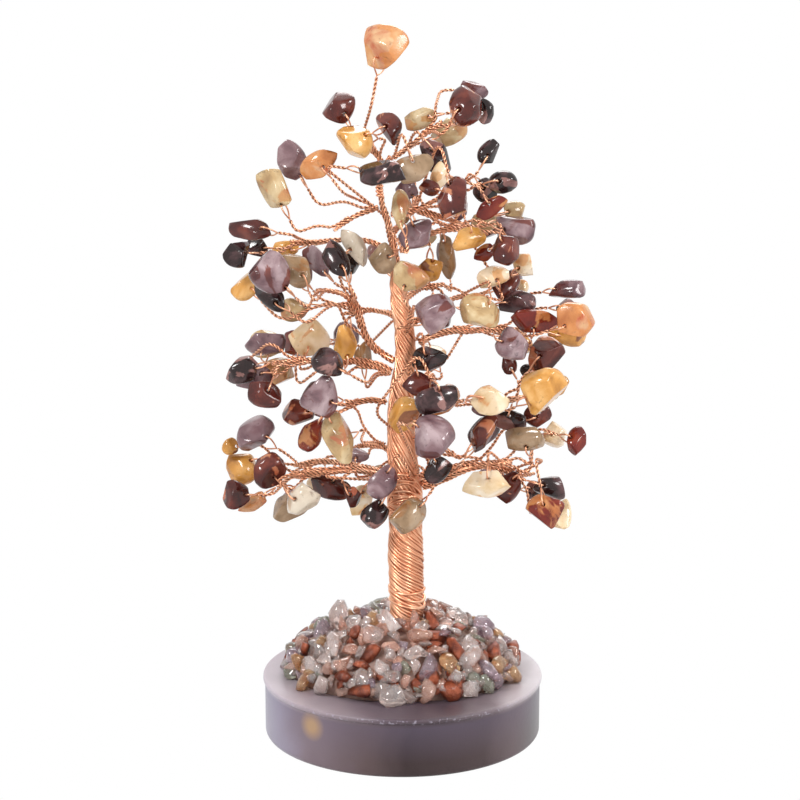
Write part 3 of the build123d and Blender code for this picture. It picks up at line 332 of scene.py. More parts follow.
def flat_ends(points, triangles):
    """The flat end discs of a tube: the numbers of their corners, their centres and radii."""
    corners = points[triangles]
    normals = np.cross(corners[:, 1] - corners[:, 0], corners[:, 2] - corners[:, 0])
    areas = np.linalg.norm(normals, axis=1)
    normals /= np.maximum(areas, 1e-18)[:, None]
    offsets = (normals * corners[:, 0]).sum(1)
    keys = np.round(np.column_stack([normals * NORMAL_GRID, offsets * PLANE_GRID])).astype(np.int64)
    _, groups, counts = np.unique(keys, axis=0, return_inverse=True, return_counts=True)
    groups = groups.reshape(-1)
    ends = []
    for group in np.argsort(-counts)[:PLANES_TRIED]:
        if counts[group] < 3:
            break
        same = np.nonzero(groups == group)[0]
        widest = same[np.argmax(areas[same])]
        first = points[np.unique(triangles[same])]
        middle = first.mean(axis=0)
        spread = np.linalg.norm(first - middle, axis=1).max()
        level = np.abs((points - corners[widest, 0]) @ normals[widest]) < PLANE_SLACK
        members = np.nonzero(level & (np.linalg.norm(points - middle, axis=1) < RING_REACH * spread))[0]
        known = any(len(np.intersect1d(members, end[0])) > 2 for end in ends)
        if len(members) < DISC_CORNERS or known:
            continue
        around = points[members] - middle
        axes = np.linalg.svd(around, full_matrices=False)[2][:2]
        flat = around @ axes.T
        centre, radius = circle_fit(flat)
        unround = np.abs(np.linalg.norm(flat - centre, axis=1) - radius).max()
        if unround < ROUND_SLACK * radius and radius < DISC_MOST:
            ends.append((members, middle + centre @ axes, radius))
    return ends[:2]


def hops_from(start, count, triangles):
    """How many edges each corner lies from the starting ones."""
    edges = edges_of(triangles)
    edges = np.vstack([edges, edges[:, ::-1]])
    hops = np.full(count, -1)
    hops[start] = 0
    level = 0
    while True:
        reached = edges[hops[edges[:, 0]] == level, 1]
        fresh = np.unique(reached[hops[reached] < 0])
        if not len(fresh):
            return hops
        level += 1
        hops[fresh] = level


def centre_line(points, triangles, ends):
    """The centre line of a tube and its radii, from one flat end to the other."""
    (first, start, start_radius), (second, end, end_radius) = ends
    single = start_radius < BUNDLE_LEAST
    hops = hops_from(first, len(points), triangles)
    line = [start]
    radii = [start_radius]
    for level in range(1, hops[second].min()):
        ring = points[hops == level]
        if single:
            reach = np.linalg.norm(ring - line[-1], axis=1)
            ring = ring[reach < reach.min() + RING_REACH * start_radius]
        if len(ring) < 5:
            continue
        middle = ring.mean(axis=0)
        line.append(middle)
        radii.append(np.linalg.norm(ring - middle, axis=1).mean())
    line.append(end)
    radii.append(end_radius)
    return np.array(line), np.array(radii)


def section(points, triangles, origin, normal, reach):
    """The centre and radius of a tube where a plane cuts it near a point."""
    heights = (points - origin) @ normal
    edges = edges_of(triangles)
    edges = edges[heights[edges[:, 0]] * heights[edges[:, 1]] < 0]
    start, end = heights[edges[:, 0]], heights[edges[:, 1]]
    share = (start / (start - end))[:, None]
    cut = points[edges[:, 0]] + share * (points[edges[:, 1]] - points[edges[:, 0]])
    cut = cut[np.linalg.norm(cut - origin, axis=1) < reach]
    if len(cut) < CUT_CORNERS:
        return None
    first = unit(np.cross(normal, [0.3, 0.9, 0.2]))
    axes = np.array([first, np.cross(normal, first)])
    centre, radius = circle_fit((cut - origin) @ axes.T)
    return origin + centre @ axes, radius


def bundle_line(points, triangles, ends):
    """The centre line and the radii of a tapering bundle, read from cuts across it."""
    line, radii = centre_line(points, triangles, ends)
    line = smoothed(evenly(line, CUT_STEP), 4)
    radii = np.linspace(radii[0], radii[-1], len(line))
    for _ in range(2):
        along = np.gradient(line, axis=0)
        for i in range(1, len(line) - 1):
            found = section(points, triangles, line[i], unit(along[i]), CUT_REACH * radii[i])
            if found is not None and found[1] < CUT_MOST * max(radii[0], radii[-1]):
                line[i], radii[i] = found
        line = smoothed(line, 2)
    return line, radii


def is_bundle(ends):
    """Whether a tube with these ends is the bundle of a limb or of the trunk."""
    return len(ends) == 2 and max(ends[0][2], ends[1][2]) > BUNDLE_LEAST


def stem_line(name):
    """The centre line of the one bundle in a CAD node, from the bottom up, and its radii."""
    tubes = [(shell, flat_ends(*shell)) for shell in shells(name)]
    (shell, ends), = [tube for tube in tubes if is_bundle(tube[1])]
    line, radii = bundle_line(*shell, ends)
    if line[0, 2] > line[-1, 2]:
        return line[::-1], radii[::-1]
    return line, radii


def wire_parts(name):
    """The bundle, the twigs and the loops of a limb's CAD node."""
    bundle = None
    twigs = []
    loops = []
    for points, triangles in shells(name):
        ends = flat_ends(points, triangles)
        if len(ends) < 2:
            loops.append(points)
        elif is_bundle(ends):
            bundle = bundle_line(points, triangles, ends)
        else:
            twigs.append(centre_line(points, triangles, ends)[0])
            dense = evenly(twigs[-1], TWIG_RADIUS)
            apart = np.linalg.norm(points[:, None] - dense[None], axis=2).min(axis=1)
            if (apart > 2 * TWIG_RADIUS).sum() > LOOP_CORNERS:
                loops.append(points[apart > 1.3 * TWIG_RADIUS])
    return bundle, twigs, loops


# Materials

def feed(socket, value):
    """Give a socket another node's output or a value of its own; a colour is given as its three parts."""
    if isinstance(value, bpy.types.NodeSocket):
        socket.id_data.links.new(value, socket)
    else:
        socket.default_value = (*value, 1.0) if socket.type == "RGBA" else value


def adjust(made, **values):
    """Give a node's inputs, or else its own settings, their values."""
    for key, value in values.items():
        socket = key.replace("_", " ")
        if socket in made.inputs:
            feed(made.inputs[socket], value)
        else:
            setattr(made, key, value)


def node(tree, kind, **values):
    """A new node with its inputs and settings."""
    made = tree.nodes.new(kind)
    adjust(made, **values)
    return made


def shader(name, **values):
    """A new material with its node tree and its main shader."""
    material = bpy.data.materials.new(name)
    material.use_nodes = True
    tree = material.node_tree
    main = tree.nodes["Principled BSDF"]
    adjust(main, **values)
    return material, tree, main


def stored(tree, name):
    """The value that a piece keeps at its corners under a name."""
    return node(tree, "ShaderNodeAttribute", attribute_name=name).outputs["Fac"]


def noise(tree, scale, detail, distortion=0.0, roughness=0.5, turn=None):
    """Cloudy noise that stays with the piece, another cut of it for each value of turn."""
    made = node(
        tree, "ShaderNodeTexNoise", Scale=scale, Detail=detail, Distortion=distortion, Roughness=roughness,
        Vector=tree.nodes.new("ShaderNodeTexCoord").outputs["Object"],
    )
    if turn is not None:
        adjust(made, noise_dimensions="4D", W=turn)
    return made.outputs["Fac"]


def maths(tree, operation, *values):
    """The result of a sum on numbers and on other nodes' values."""
    made = node(tree, "ShaderNodeMath", operation=operation)
    for socket, value in zip(made.inputs, values):
        feed(socket, value)
    return made.outputs["Value"]


def spread(tree, value, low, high, first=0.0, last=1.0):
    """A value carried over from the range of low to high to that of first to last."""
    made = node(
        tree, "ShaderNodeMapRange", Value=value, From_Min=low, From_Max=high, To_Min=first, To_Max=last,
    )
    return made.outputs["Result"]


def ramp(tree, value, stops):
    """A run of colours on a value; a stop with one number is a grey."""
    made = tree.nodes.new("ShaderNodeValToRGB")
    elements = made.color_ramp.elements
    while len(elements) < len(stops):
        elements.new(0.5)
    for element, (spot, colour) in zip(elements, stops):
        element.position = spot
        element.color = (*(colour if isinstance(colour, tuple) else (colour,) * 3), 1.0)
    feed(made.inputs["Fac"], value)
    return made.outputs["Color"]


def mix(tree, factor, first, second, blend="MIX"):
    """A blend of two colours, each of them another node's or plain."""
    made = node(tree, "ShaderNodeMix", data_type="RGBA", blend_type=blend)
    for i, value in ((0, factor), (6, first), (7, second)):
        feed(made.inputs[i], value)
    return made.outputs[2]


def bump(tree, height, strength, distance):
    """The way a surface faces when a height is worked into it."""
    made = node(tree, "ShaderNodeBump", Height=height, Strength=strength, Distance=distance)
    return made.outputs["Normal"]


def copper_material():
    """Bare bright copper wire, slightly uneven in tone, with painted shade that turns it brown down between
    the wires.
    """
    material, tree, main = shader("copper_wire", Metallic=0.85)
    tone = noise(tree, 160.0, 3.0)
    bright = ramp(tree, tone, (
        (0.30, (0.72, 0.32, 0.18)), (0.50, (0.84, 0.42, 0.25)), (0.72, (0.94, 0.56, 0.37)),
    ))
    # painted shade: the side of each wire that faces in between the wires is darkened to brown
    deep = ramp(tree, stored(tree, "groove_shade"), ((0.34, 0.0), (0.66, 0.90)))
    adjust(
        main, Base_Color=mix(tree, deep, bright, (0.20, 0.060, 0.030)),
        Roughness=spread(tree, tone, 0.0, 1.0, 0.24, 0.36),
    )
    return material


def stone_material(name, low, middle, high, dim, bright, rare):
    """A polished stone: a cloudy ground with patches and fine dark veins, another cut for each stone."""
    material, tree, main = shader(
        name, Roughness=0.13, Specular_IOR_Level=0.38, Coat_Weight=0.12, Coat_Roughness=0.04,
    )
    turn = maths(tree, "MULTIPLY", stored(tree, "seed"), 9.0)
    clouds = noise(tree, 170.0, 5.0, 0.6, turn=turn)
    ground = ramp(tree, clouds, ((0.30, low), (0.50, middle), (0.70, high)))
    patch = ramp(tree, clouds, ((0.35, dim), (0.65, bright)))
    edge = ramp(tree, noise(tree, 95.0, 3.0, 1.2, turn=turn), ((rare, 0.0), (rare + 0.025, 1.0)))
    veins = ramp(tree, noise(tree, 420.0, 6.0, 2.0, turn=turn), ((0.60, 0.0), (0.72, 0.55)))
    dark = tuple(part * 0.35 for part in low)
    adjust(
        main, Base_Color=mix(tree, veins, mix(tree, edge, ground, patch), dark),
        Normal=bump(tree, noise(tree, 900.0, 3.0, turn=turn), 0.12, 0.0002),
    )
    return material


# The ground of each stone from dark to light, the two tones of its patches, and how rare they are
STONES = {
    "maroon": ((0.030, 0.006, 0.005), (0.080, 0.013, 0.009), (0.17, 0.038, 0.023),
               (0.34, 0.076, 0.034), (0.50, 0.23, 0.12), 0.58),
    "plum": ((0.071, 0.032, 0.040), (0.19, 0.11, 0.12), (0.39, 0.29, 0.30),
             (0.051, 0.015, 0.018), (0.17, 0.049, 0.039), 0.53),
    "black": ((0.006, 0.003, 0.003), (0.018, 0.007, 0.007), (0.12, 0.058, 0.061),
              (0.15, 0.058, 0.050), (0.32, 0.17, 0.15), 0.57),
    "mustard": ((0.32, 0.13, 0.024), (0.57, 0.27, 0.060), (0.74, 0.45, 0.18),
                (0.13, 0.042, 0.019), (0.34, 0.12, 0.043), 0.60),
    "cream": ((0.56, 0.37, 0.17), (0.73, 0.56, 0.36), (0.82, 0.71, 0.57),
              (0.56, 0.25, 0.10), (0.73, 0.45, 0.22), 0.58),
    "tan": ((0.25, 0.14, 0.062), (0.46, 0.31, 0.15), (0.63, 0.51, 0.32),
            (0.35, 0.11, 0.053), (0.53, 0.30, 0.12), 0.53),
    "red": ((0.073, 0.005, 0.004), (0.15, 0.014, 0.007), (0.24, 0.041, 0.016),
            (0.39, 0.12, 0.036), (0.50, 0.24, 0.096), 0.57),
    "orange": ((0.37, 0.12, 0.034), (0.53, 0.21, 0.068), (0.61, 0.35, 0.17),
               (0.41, 0.077, 0.027), (0.62, 0.41, 0.22), 0.54),
    "olive": ((0.16, 0.096, 0.047), (0.29, 0.19, 0.11), (0.42, 0.31, 0.21),
              (0.20, 0.081, 0.030), (0.39, 0.21, 0.086), 0.56),
    "white": ((0.39, 0.31, 0.21), (0.54, 0.45, 0.35), (0.66, 0.58, 0.47),
              (0.22, 0.15, 0.11), (0.42, 0.34, 0.27), 0.58),
}


def gravel_material(name, deep, pale, clear, roughness, sparkle):
    """Small polished gravel: cloudy, partly clear quartz, or a dense stone full of sparks."""
    material, tree, main = shader(
        name, Roughness=roughness, Transmission_Weight=clear, IOR=1.45, Coat_Weight=0.3, Coat_Roughness=0.05,
        Metallic=0.55 if sparkle else 0.0,
    )
    clouds = noise(tree, 330.0, 5.0, 0.8, turn=stored(tree, "seed"))
    grain = noise(tree, 2600.0 if sparkle else 700.0, 4.0)
    adjust(
        main, Base_Color=ramp(tree, clouds, ((0.34, deep), (0.62, pale))),
        Normal=bump(tree, grain, 0.9 if sparkle else 0.15, 0.0004),
    )
    return material


# The deep and the pale tone of each gravel, how clear and how rough it is, and whether it is full of sparks
GRAVEL = {
    "clear": ((0.86, 0.68, 0.62), (1.0, 0.95, 0.93), 0.86, 0.03, False),
    "rose": ((0.55, 0.24, 0.16), (0.92, 0.62, 0.51), 0.70, 0.06, False),
    "amethyst": ((0.44, 0.30, 0.36), (0.84, 0.70, 0.78), 0.80, 0.05, False),
    "red": ((0.085, 0.014, 0.006), (0.30, 0.068, 0.026), 0.0, 0.28, True),
    "white": ((0.76, 0.60, 0.55), (1.0, 0.91, 0.88), 0.74, 0.09, False),
    "green": ((0.38, 0.36, 0.25), (0.70, 0.74, 0.63), 0.80, 0.06, False),
    "citrine": ((0.50, 0.20, 0.06), (0.90, 0.60, 0.33), 0.72, 0.06, False),
}


def resin_material():
    """Cast resin: purple brown in the thick of it, with painted light making it lavender where it is thin at
    the left and right of its side, a painted shadow of the heap across the middle of its top, and pale
    flecks on its worn rim for scratches and a painted highlight.
    """
    material, tree, main = shader(
        "cast_resin", Roughness=0.32, Specular_IOR_Level=0.35, Subsurface_Weight=0.15,
        Subsurface_Radius=(0.004, 0.003, 0.004), Subsurface_Scale=0.5,
    )
    place = tree.nodes.new("ShaderNodeTexCoord").outputs["Object"]
    split = node(tree, "ShaderNodeSeparateXYZ", Vector=place)
    height = split.outputs["Z"]
    uneven = maths(tree, "MULTIPLY_ADD", noise(tree, 60.0, 4.0, 0.5), 0.012, split.outputs["X"])
    across = spread(tree, uneven, -0.0315, 0.0435)
    # painted light: the side is lighter lavender towards its left and right ends, where light shows through
    # the thin resin, and darkest purple brown in the middle
    side = ramp(tree, across, (
        (0.0, (0.27, 0.26, 0.34)), (0.06, (0.25, 0.22, 0.29)), (0.17, (0.18, 0.135, 0.16)),
        (0.35, (0.085, 0.054, 0.056)), (0.52, (0.029, 0.015, 0.016)), (0.78, (0.053, 0.033, 0.035)),
        (0.90, (0.105, 0.074, 0.080)), (1.0, (0.095, 0.088, 0.093)),
    ))
    # painted shadow: the heap's shadow darkens the middle of the top; its left and right ends are pale
    # lavender
    top = ramp(tree, across, (
        (0.0, (0.50, 0.44, 0.48)), (0.20, (0.32, 0.26, 0.28)), (0.42, (0.092, 0.064, 0.077)),
        (0.66, (0.066, 0.045, 0.050)), (0.82, (0.18, 0.138, 0.148)), (0.90, (0.40, 0.345, 0.36)),
        (1.0, (0.56, 0.52, 0.54)),
    ))
    level = ramp(tree, spread(tree, height, 0.0135, 0.0158), ((0.0, 0.0), (1.0, 1.0)))
    colour = mix(tree, level, side, top)
    band = ramp(tree, spread(tree, height, 0.004, 0.0145), ((0.0, 0.0), (0.9, 0.34), (1.0, 0.10)))
    colour = mix(tree, band, colour, (0.12, 0.10, 0.16))
    away = node(tree, "ShaderNodeVectorMath", operation="DISTANCE")
    feed(away.inputs[0], place)
    feed(away.inputs[1], RESIN_SPOT)
    near = ramp(tree, spread(tree, away.outputs["Value"], 0.0012, 0.0042), ((0.0, 0.75), (1.0, 0.0)))
    colour = mix(tree, near, colour, (0.42, 0.26, 0.12))
    # pale flecks along the rim: partly worn scratches, partly a painted highlight where light catches the
    # edge
    scratches_and_glints = ramp(tree, noise(tree, 1100.0, 2.0), ((0.56, 0.0), (0.64, 0.5)))
    rim = ramp(tree, spread(tree, height, 0.0143, 0.0159), ((0.0, 0.0), (0.2, 1.0), (0.85, 1.0), (1.0, 0.0)))
    adjust(
        main, Base_Color=mix(tree, maths(tree, "MULTIPLY", scratches_and_glints, rim), colour, (0.36, 0.33, 0.40)),
        Normal=bump(tree, noise(tree, 300.0, 8.0, roughness=0.7), 0.16, 0.0004),
    )
    return material


def glue_material():
    """Clear glue among the gravel, brownish in cloudy patches."""
    material, tree, main = shader("clear_glue", Roughness=0.12, Transmission_Weight=0.45, IOR=1.45)
    clouds = noise(tree, 220.0, 5.0)
    adjust(
        main, Base_Color=ramp(tree, clouds, ((0.35, (0.25, 0.12, 0.085)), (0.65, (0.62, 0.44, 0.38)))),
        Normal=bump(tree, clouds, 0.6, 0.001),
    )
    return material


def dress(name, material):
    """Give a CAD node its finish."""
    mesh = nodes[name].data
    mesh.materials.clear()
    mesh.materials.append(material)


copper = copper_material()
resin = resin_material()
glue = glue_material()
stone_materials = {kind: stone_material(f"{kind}_stone", *values) for kind, values in STONES.items()}
gravel_materials = {kind: gravel_material(f"{kind}_gravel", *values) for kind, values in GRAVEL.items()}
dress("base_disc", resin)
dress("base_rim", resin)


# Building pieces

def placed(name, data):
    """A new object in the scene."""
    made = bpy.data.objects.new(name, data)
    bpy.context.scene.collection.objects.link(made)
    return made


def smooth_piece(name, points, faces, attribute, values, material):
    """A smooth piece that keeps a value at each corner for its material."""
    mesh = bpy.data.meshes.new(name)
    mesh.from_pydata(np.concatenate(points).tolist(), [], faces)
    mesh.polygons.foreach_set("use_smooth", [True] * len(mesh.polygons))
    mesh.attributes.new(attribute, "FLOAT", "POINT").data.foreach_set("value", np.concatenate(values))
    mesh.update()
    mesh.materials.append(material)
    return placed(name, mesh)


def joined_piece(name, parts, seeds, material):
    """One piece from several shells, each with its own seed for the material."""
    points = []
    faces = []
    values = []
    count = 0
    for (spots, part_faces), seed in zip(parts, seeds):
        points.append(spots)
        faces.extend([tuple(int(corner) + count for corner in face) for face in part_faces])
        values.append(np.full(len(spots), seed))
        count += len(spots)
    return smooth_piece(name, points, faces, "seed", values, material)


def modified(points, faces, kind, **settings):
    """The corners and faces of a form after one change to the whole of it."""
    mesh = bpy.data.meshes.new("blank")
    mesh.from_pydata(points.tolist(), [], faces)
    blank = placed("blank", mesh)
    change = blank.modifiers.new("change", kind)
    for key, value in settings.items():
        setattr(change, key, value)
    changed = bpy.data.meshes.new_from_object(blank.evaluated_get(bpy.context.evaluated_depsgraph_get()))
    bpy.data.objects.remove(blank)
    bpy.data.meshes.remove(mesh)
    result = corner_points(changed), [tuple(face.vertices) for face in changed.polygons]
    bpy.data.meshes.remove(changed)
    return result


class Wires:
    """Collects round wires into one mesh."""

    def __init__(self):
        self.points = []
        self.faces = []
        self.groove_shades = []
        self.count = 0

    def add(self, line, radius, sides=WIRE_SIDES, outward=None):
        """One round wire; the side of it that faces away from outward lies between wires and gets painted
        shade.
        """
        side, other = cross_directions(line)
        angles = np.arange(sides) * 2 * pi / sides
        ring = np.cos(angles)[None, :, None] * side[:, None] + np.sin(angles)[None, :, None] * other[:, None]
        points = line[:, None] + ring * (radius if np.isscalar(radius) else radius[:, None, None])
        size = len(line) * sides
        grid = self.count + np.arange(size).reshape(-1, sides)
        nearer, further = grid[:-1], grid[1:]
        quads = np.stack([nearer, np.roll(nearer, -1, 1), np.roll(further, -1, 1), further], axis=2)
        self.points.append(points.reshape(-1, 3))
        # how far each corner faces in between the wires, for the painted shade there
        if outward is None:
            self.groove_shades.append(np.zeros(size))
        else:
            self.groove_shades.append((1 - (ring * outward[:, None]).sum(axis=2)).reshape(-1) / 2)
        self.faces.extend(quads.reshape(-1, 4).tolist())
        self.faces.append(grid[0][::-1].tolist())
        self.faces.append(grid[-1].tolist())
        self.count += size

    def add_pair(self, line, pitch, phase, sides=WIRE_SIDES):
        """Two thin wires twisted round each other along a line."""
        side, other = cross_directions(line)
        for strand in range(2):
            angle = 2 * pi * (lengths_along(line) / pitch + strand / 2) + phase
            outward = np.cos(angle)[:, None] * side + np.sin(angle)[:, None] * other
            self.add(line + outward * WIRE_RADIUS, WIRE_RADIUS, sides, outward)

    def piece(self, name):
        """All the wires so far as one copper piece."""
        return smooth_piece(name, self.points, self.faces, "groove_shade", self.groove_shades, copper)


# Stones

def value_noise(points, scale, rng):
    """Smooth noise in space from a few waves of random direction."""
    waves = 7
    total = np.zeros(len(points))
    for _ in range(waves):
        direction = unit(rng.normal(size=3)) * rng.uniform(0.6, 1.5) / scale
        total += np.sin(points @ direction + rng.uniform(0, 2 * pi))
    return total / waves


def shaped_stone(points, triangles, seed, swell):
    """A fine mesh of one stone, cut by a few soft facets as tumbling leaves them."""
    rng = np.random.default_rng(1000 + seed)
    spots, faces = modified(
        points, triangles.tolist(), "REMESH", mode="VOXEL", voxel_size=STONE_VOXEL, use_smooth_shade=True,
    )
    centre = middle_of(spots)
    offset = spots - centre
    axes = np.linalg.svd(offset[:: max(1, len(spots) // 600)], full_matrices=False)[2]
    local = offset @ axes.T
    half = np.abs(local).max(axis=0)
    for i in range(rng.integers(*FACETS)):
        normal = unit(rng.normal(size=3))
        limit = np.linalg.norm(half * normal) * rng.uniform(*(DEEP_FACET if i < DEEP_FACETS else FACET))
        over = np.maximum(local @ normal - limit, 0)
        local = local - np.outer(over * FACET_CUT, normal)
    wave = value_noise(local, half.mean() * DENT_REACH, rng)
    local = local * (swell - DENTS * (wave[:, None] * 0.5 + 0.5))
    return centre + local @ axes, faces


def relaxed(spots, faces):
    """Points moved halfway to the middle of their neighbours, to round off cut edges."""
    edges = edges_of(np.array([face for face in faces if len(face) == 4]))
    edges = np.vstack([edges, edges[:, ::-1]])
    count = np.zeros(len(spots))
    total = np.zeros_like(spots)
    np.add.at(count, edges[:, 0], 1)
    np.add.at(total, edges[:, 0], spots[edges[:, 1]])
    middle = total / np.maximum(count, 1)[:, None]
    return np.where(count[:, None] > 0, 0.5 * spots + 0.5 * middle, spots)


def kept_inside(spots, low, high):
    """A stone made smaller about its middle where it would reach out of a box."""
    centre = middle_of(spots)
    above = (high - centre) / (spots.max(axis=0) - centre)
    below = (centre - low) / (centre - spots.min(axis=0))
    return centre + (spots - centre) * min(1.0, above.min(), below.min())


def stone_piece(name, kind, first_seed):
    """The polished stones that stand for one CAD node, the loose ones no bigger than there."""
    parts = []
    seeds = []
    for i, (points, triangles) in enumerate(shells(name)):
        if PROP_BODIES[name] == "root":
            swell = FIXED_SWELL
            low, high = np.array(cad_bounds) + BOX_MARGIN
        else:
            swell = LOOSE_SWELL
            low, high = points.min(axis=0), points.max(axis=0)
        spots, faces = shaped_stone(points, triangles, first_seed + i, swell)
        spots = kept_inside(relaxed(spots, faces), low, high)
        parts.append(modified(spots, faces, "DECIMATE", ratio=FACES_KEPT))
        seeds.append(first_seed + i * SEED_STEP)
    piece = joined_piece(f"{name}_polished", parts, seeds, stone_materials[kind])
    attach(piece, PROP_BODIES[name])
    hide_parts(name)


stone_nodes = [name for name in sorted(nodes) if slot_of[name].endswith("_stone")]
for i, name in enumerate(stone_nodes):
    stone_piece(name, slot_of[name][: -len("_stone")], 40 * i)


# Gravel

def from_form(form):
    """The corners and faces of a form that isn't needed any more."""
    form.verts.index_update()
    spots = np.array([corner.co[:] for corner in form.verts])
    faces = [tuple(corner.index for corner in face.verts) for face in form.faces]
    form.free()
    return spots, faces


def chance_turn(outward, rng):
    """A chance set of axes, the last one more or less outward."""
    lean = unit(outward + rng.normal(size=3) * CHIP_LEAN)
    first = unit(np.cross(lean, rng.normal(size=3)))
    return np.column_stack([first, np.cross(lean, first), lean])


def tumbled_chip(centre, outward, reach, rng):
    """One chip of gravel: a ball cut flat by chance planes, its edges rounded by tumbling."""
    form = bmesh.new()
    bmesh.ops.create_icosphere(form, subdivisions=2, radius=1.0)
    ball, faces = from_form(form)
    for _ in range(BALL_CUTS):
        normal = unit(rng.normal(size=3))
        over = np.maximum(ball @ normal - rng.uniform(*BALL_CUT), 0)
        ball = ball - np.outer(over * 0.97, normal)
    turn = chance_turn(outward, rng)
    stretch = np.array([rng.uniform(0.95, 1.35), rng.uniform(0.72, 1.0), rng.uniform(0.55, 0.80)])
    return centre + (ball * stretch * reach) @ turn.T, faces


def broken_chip(centre, outward, reach, rng):
    """One small angular chip, its flat side more or less along the heap."""
    form = bmesh.new()
    stretch = np.array([rng.uniform(0.95, 1.45), rng.uniform(0.75, 1.05), rng.uniform(0.50, 0.72)])
    turn = chance_turn(outward, rng)
    corners = [form.verts.new(unit(rng.normal(size=3)) * reach * stretch) for _ in range(BROKEN_CORNERS)]
    bmesh.ops.convex_hull(form, input=corners)
    bmesh.ops.delete(form, geom=[corner for corner in form.verts if not corner.link_faces], context="VERTS")
    bmesh.ops.dissolve_limit(form, angle_limit=radians(20), verts=form.verts, edges=form.edges)
    bmesh.ops.bevel(
        form, geom=list(form.edges), offset=reach * BROKEN_BEVEL, segments=1, affect="EDGES", profile=0.5,
        clamp_overlap=True,
    )
    spots, faces = from_form(form)
    return spots @ turn.T + centre, faces


def heap_share(flat):
    """How far out on the heap level points lie, as a share of its reach."""
    return np.linalg.norm((flat - HEAP_MIDDLE) / HEAP_REACH, axis=1)


def slump(share):
    """How far the heap sinks below a full dome, by the share of its reach."""
    return HEAP_SLUMP * np.sin(pi * np.clip(share, 0, 1) ** 2)


def gravel():
    """The heap: a chip on each CAD chip, smaller ones between them, and some round the trunk's foot."""
    rng = np.random.default_rng(77)
    centres = []
    kinds = []
    for name in sorted(nodes):
        if name.startswith("gravel_"):
            for points, _ in shells(name):
                centres.append(middle_of(points))
                kinds.append(name[len("gravel_"):])
    centres = np.array(centres)
    centres[:, 2] -= slump(heap_share(centres[:, :2]))
    inside = np.array([0.0, centres[:, 1].mean(), heap_floor - 0.004])
    chips = {kind: [] for kind in GRAVEL}

    def lay(shape, centre, reach, kind):
        """Put one chip on the heap, cut level where it would go into the base."""
        spots, faces = shape(centre, unit(centre - inside), reach, rng)
        spots[:, 2] = np.maximum(spots[:, 2], heap_floor)
        chips[kind].append((spots, faces))

    def chance_kind():
        """The kind of stone of a chip that isn't in the CAD model."""
        return list(GRAVEL)[rng.choice(len(GRAVEL), p=FILLER_SHARES)]

    for centre, kind in zip(centres, kinds):
        spot = centre + unit(centre - inside) * rng.uniform(-CHIP_SHIFT, CHIP_SHIFT)
        shape = tumbled_chip if rng.uniform() < TUMBLED_SHARE else broken_chip
        lay(shape, spot, CHIP_REACH * rng.choice(CHIP_SIZES), kind)
    for centre in centres:
        nearest = np.argsort(np.linalg.norm(centres - centre, axis=1))
        for _ in range(FILLERS):
            spot = centre + (centres[nearest[rng.integers(1, 7)]] - centre) * rng.uniform(0.35, 0.65)
            spot = spot + unit(spot - inside) * rng.uniform(-0.0006, 0.0007)
            kind = chance_kind()
            lay(broken_chip, spot, CHIP_REACH * rng.uniform(*FILLER_SIZES), kind)
    height = heap_floor + HEAP_HEIGHT - FOOT_DROP
    for angle in np.linspace(0, 2 * pi, FOOT_CHIPS, endpoint=False):
        spot = np.array([foot[0] + FOOT_REACH * cos(angle), foot[1] + FOOT_REACH * sin(angle), height])
        lay(tumbled_chip, spot, FOOT_SIZE * CHIP_REACH, chance_kind())
    lay(tumbled_chip, np.array([*FRONT_CHIP, heap_floor + FRONT_RISE]), FRONT_SIZE * CHIP_REACH, "clear")
    for kind in GRAVEL:
        name = f"gravel_{kind}"
        seeds = rng.uniform(0, 40, len(chips[kind]))
        piece = joined_piece(f"{name}_chips", chips[kind], seeds, gravel_materials[kind])
        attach(piece, "root")
        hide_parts(name)


def glue_piece():
    """The glue under the chips: a low uneven mound with a bore for the trunk."""
    circle = level_ring(np.arange(GLUE_SIDES) * 2 * pi / GLUE_SIDES)[:, :2]
    rows = []
    for share in np.linspace(0.0, 1.0, GLUE_ROWS):
        outer = HEAP_MIDDLE + circle * np.array(HEAP_REACH) * GLUE_REACH
        flat = (1 - share) * (foot[:2] + circle * TRUNK_BORE) + share * outer
        reach = np.clip(heap_share(flat), 0, 1)
        rise = GLUE_RISE * (HEAP_HEIGHT * np.sqrt(1 - reach**2) - slump(reach))
        rows.append(np.column_stack([flat, heap_floor + rise]))
    feet = [np.column_stack([row[:, :2], np.full(GLUE_SIDES, heap_floor)]) for row in (rows[0], rows[-1])]
    rows = [feet[0], *rows, feet[1]]
    spots = np.concatenate(rows)
    raised = spots[:, 2] > heap_floor + 0.001
    spots[:, 2] += raised * GLUE_LUMP * value_noise(spots, LUMP_REACH, np.random.default_rng(31))
    faces = []
    for row in range(len(rows)):
        here, further = row * GLUE_SIDES, (row + 1) % len(rows) * GLUE_SIDES
        for i in range(GLUE_SIDES):
            beside = (i + 1) % GLUE_SIDES
            faces.append((further + i, further + beside, here + beside, here + i))
    piece = joined_piece("glue_under_chips", [(spots, faces)], [0.0], glue)
    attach(piece, "root")
    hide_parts("glue_mound")


gravel()
glue_piece()


# Limbs

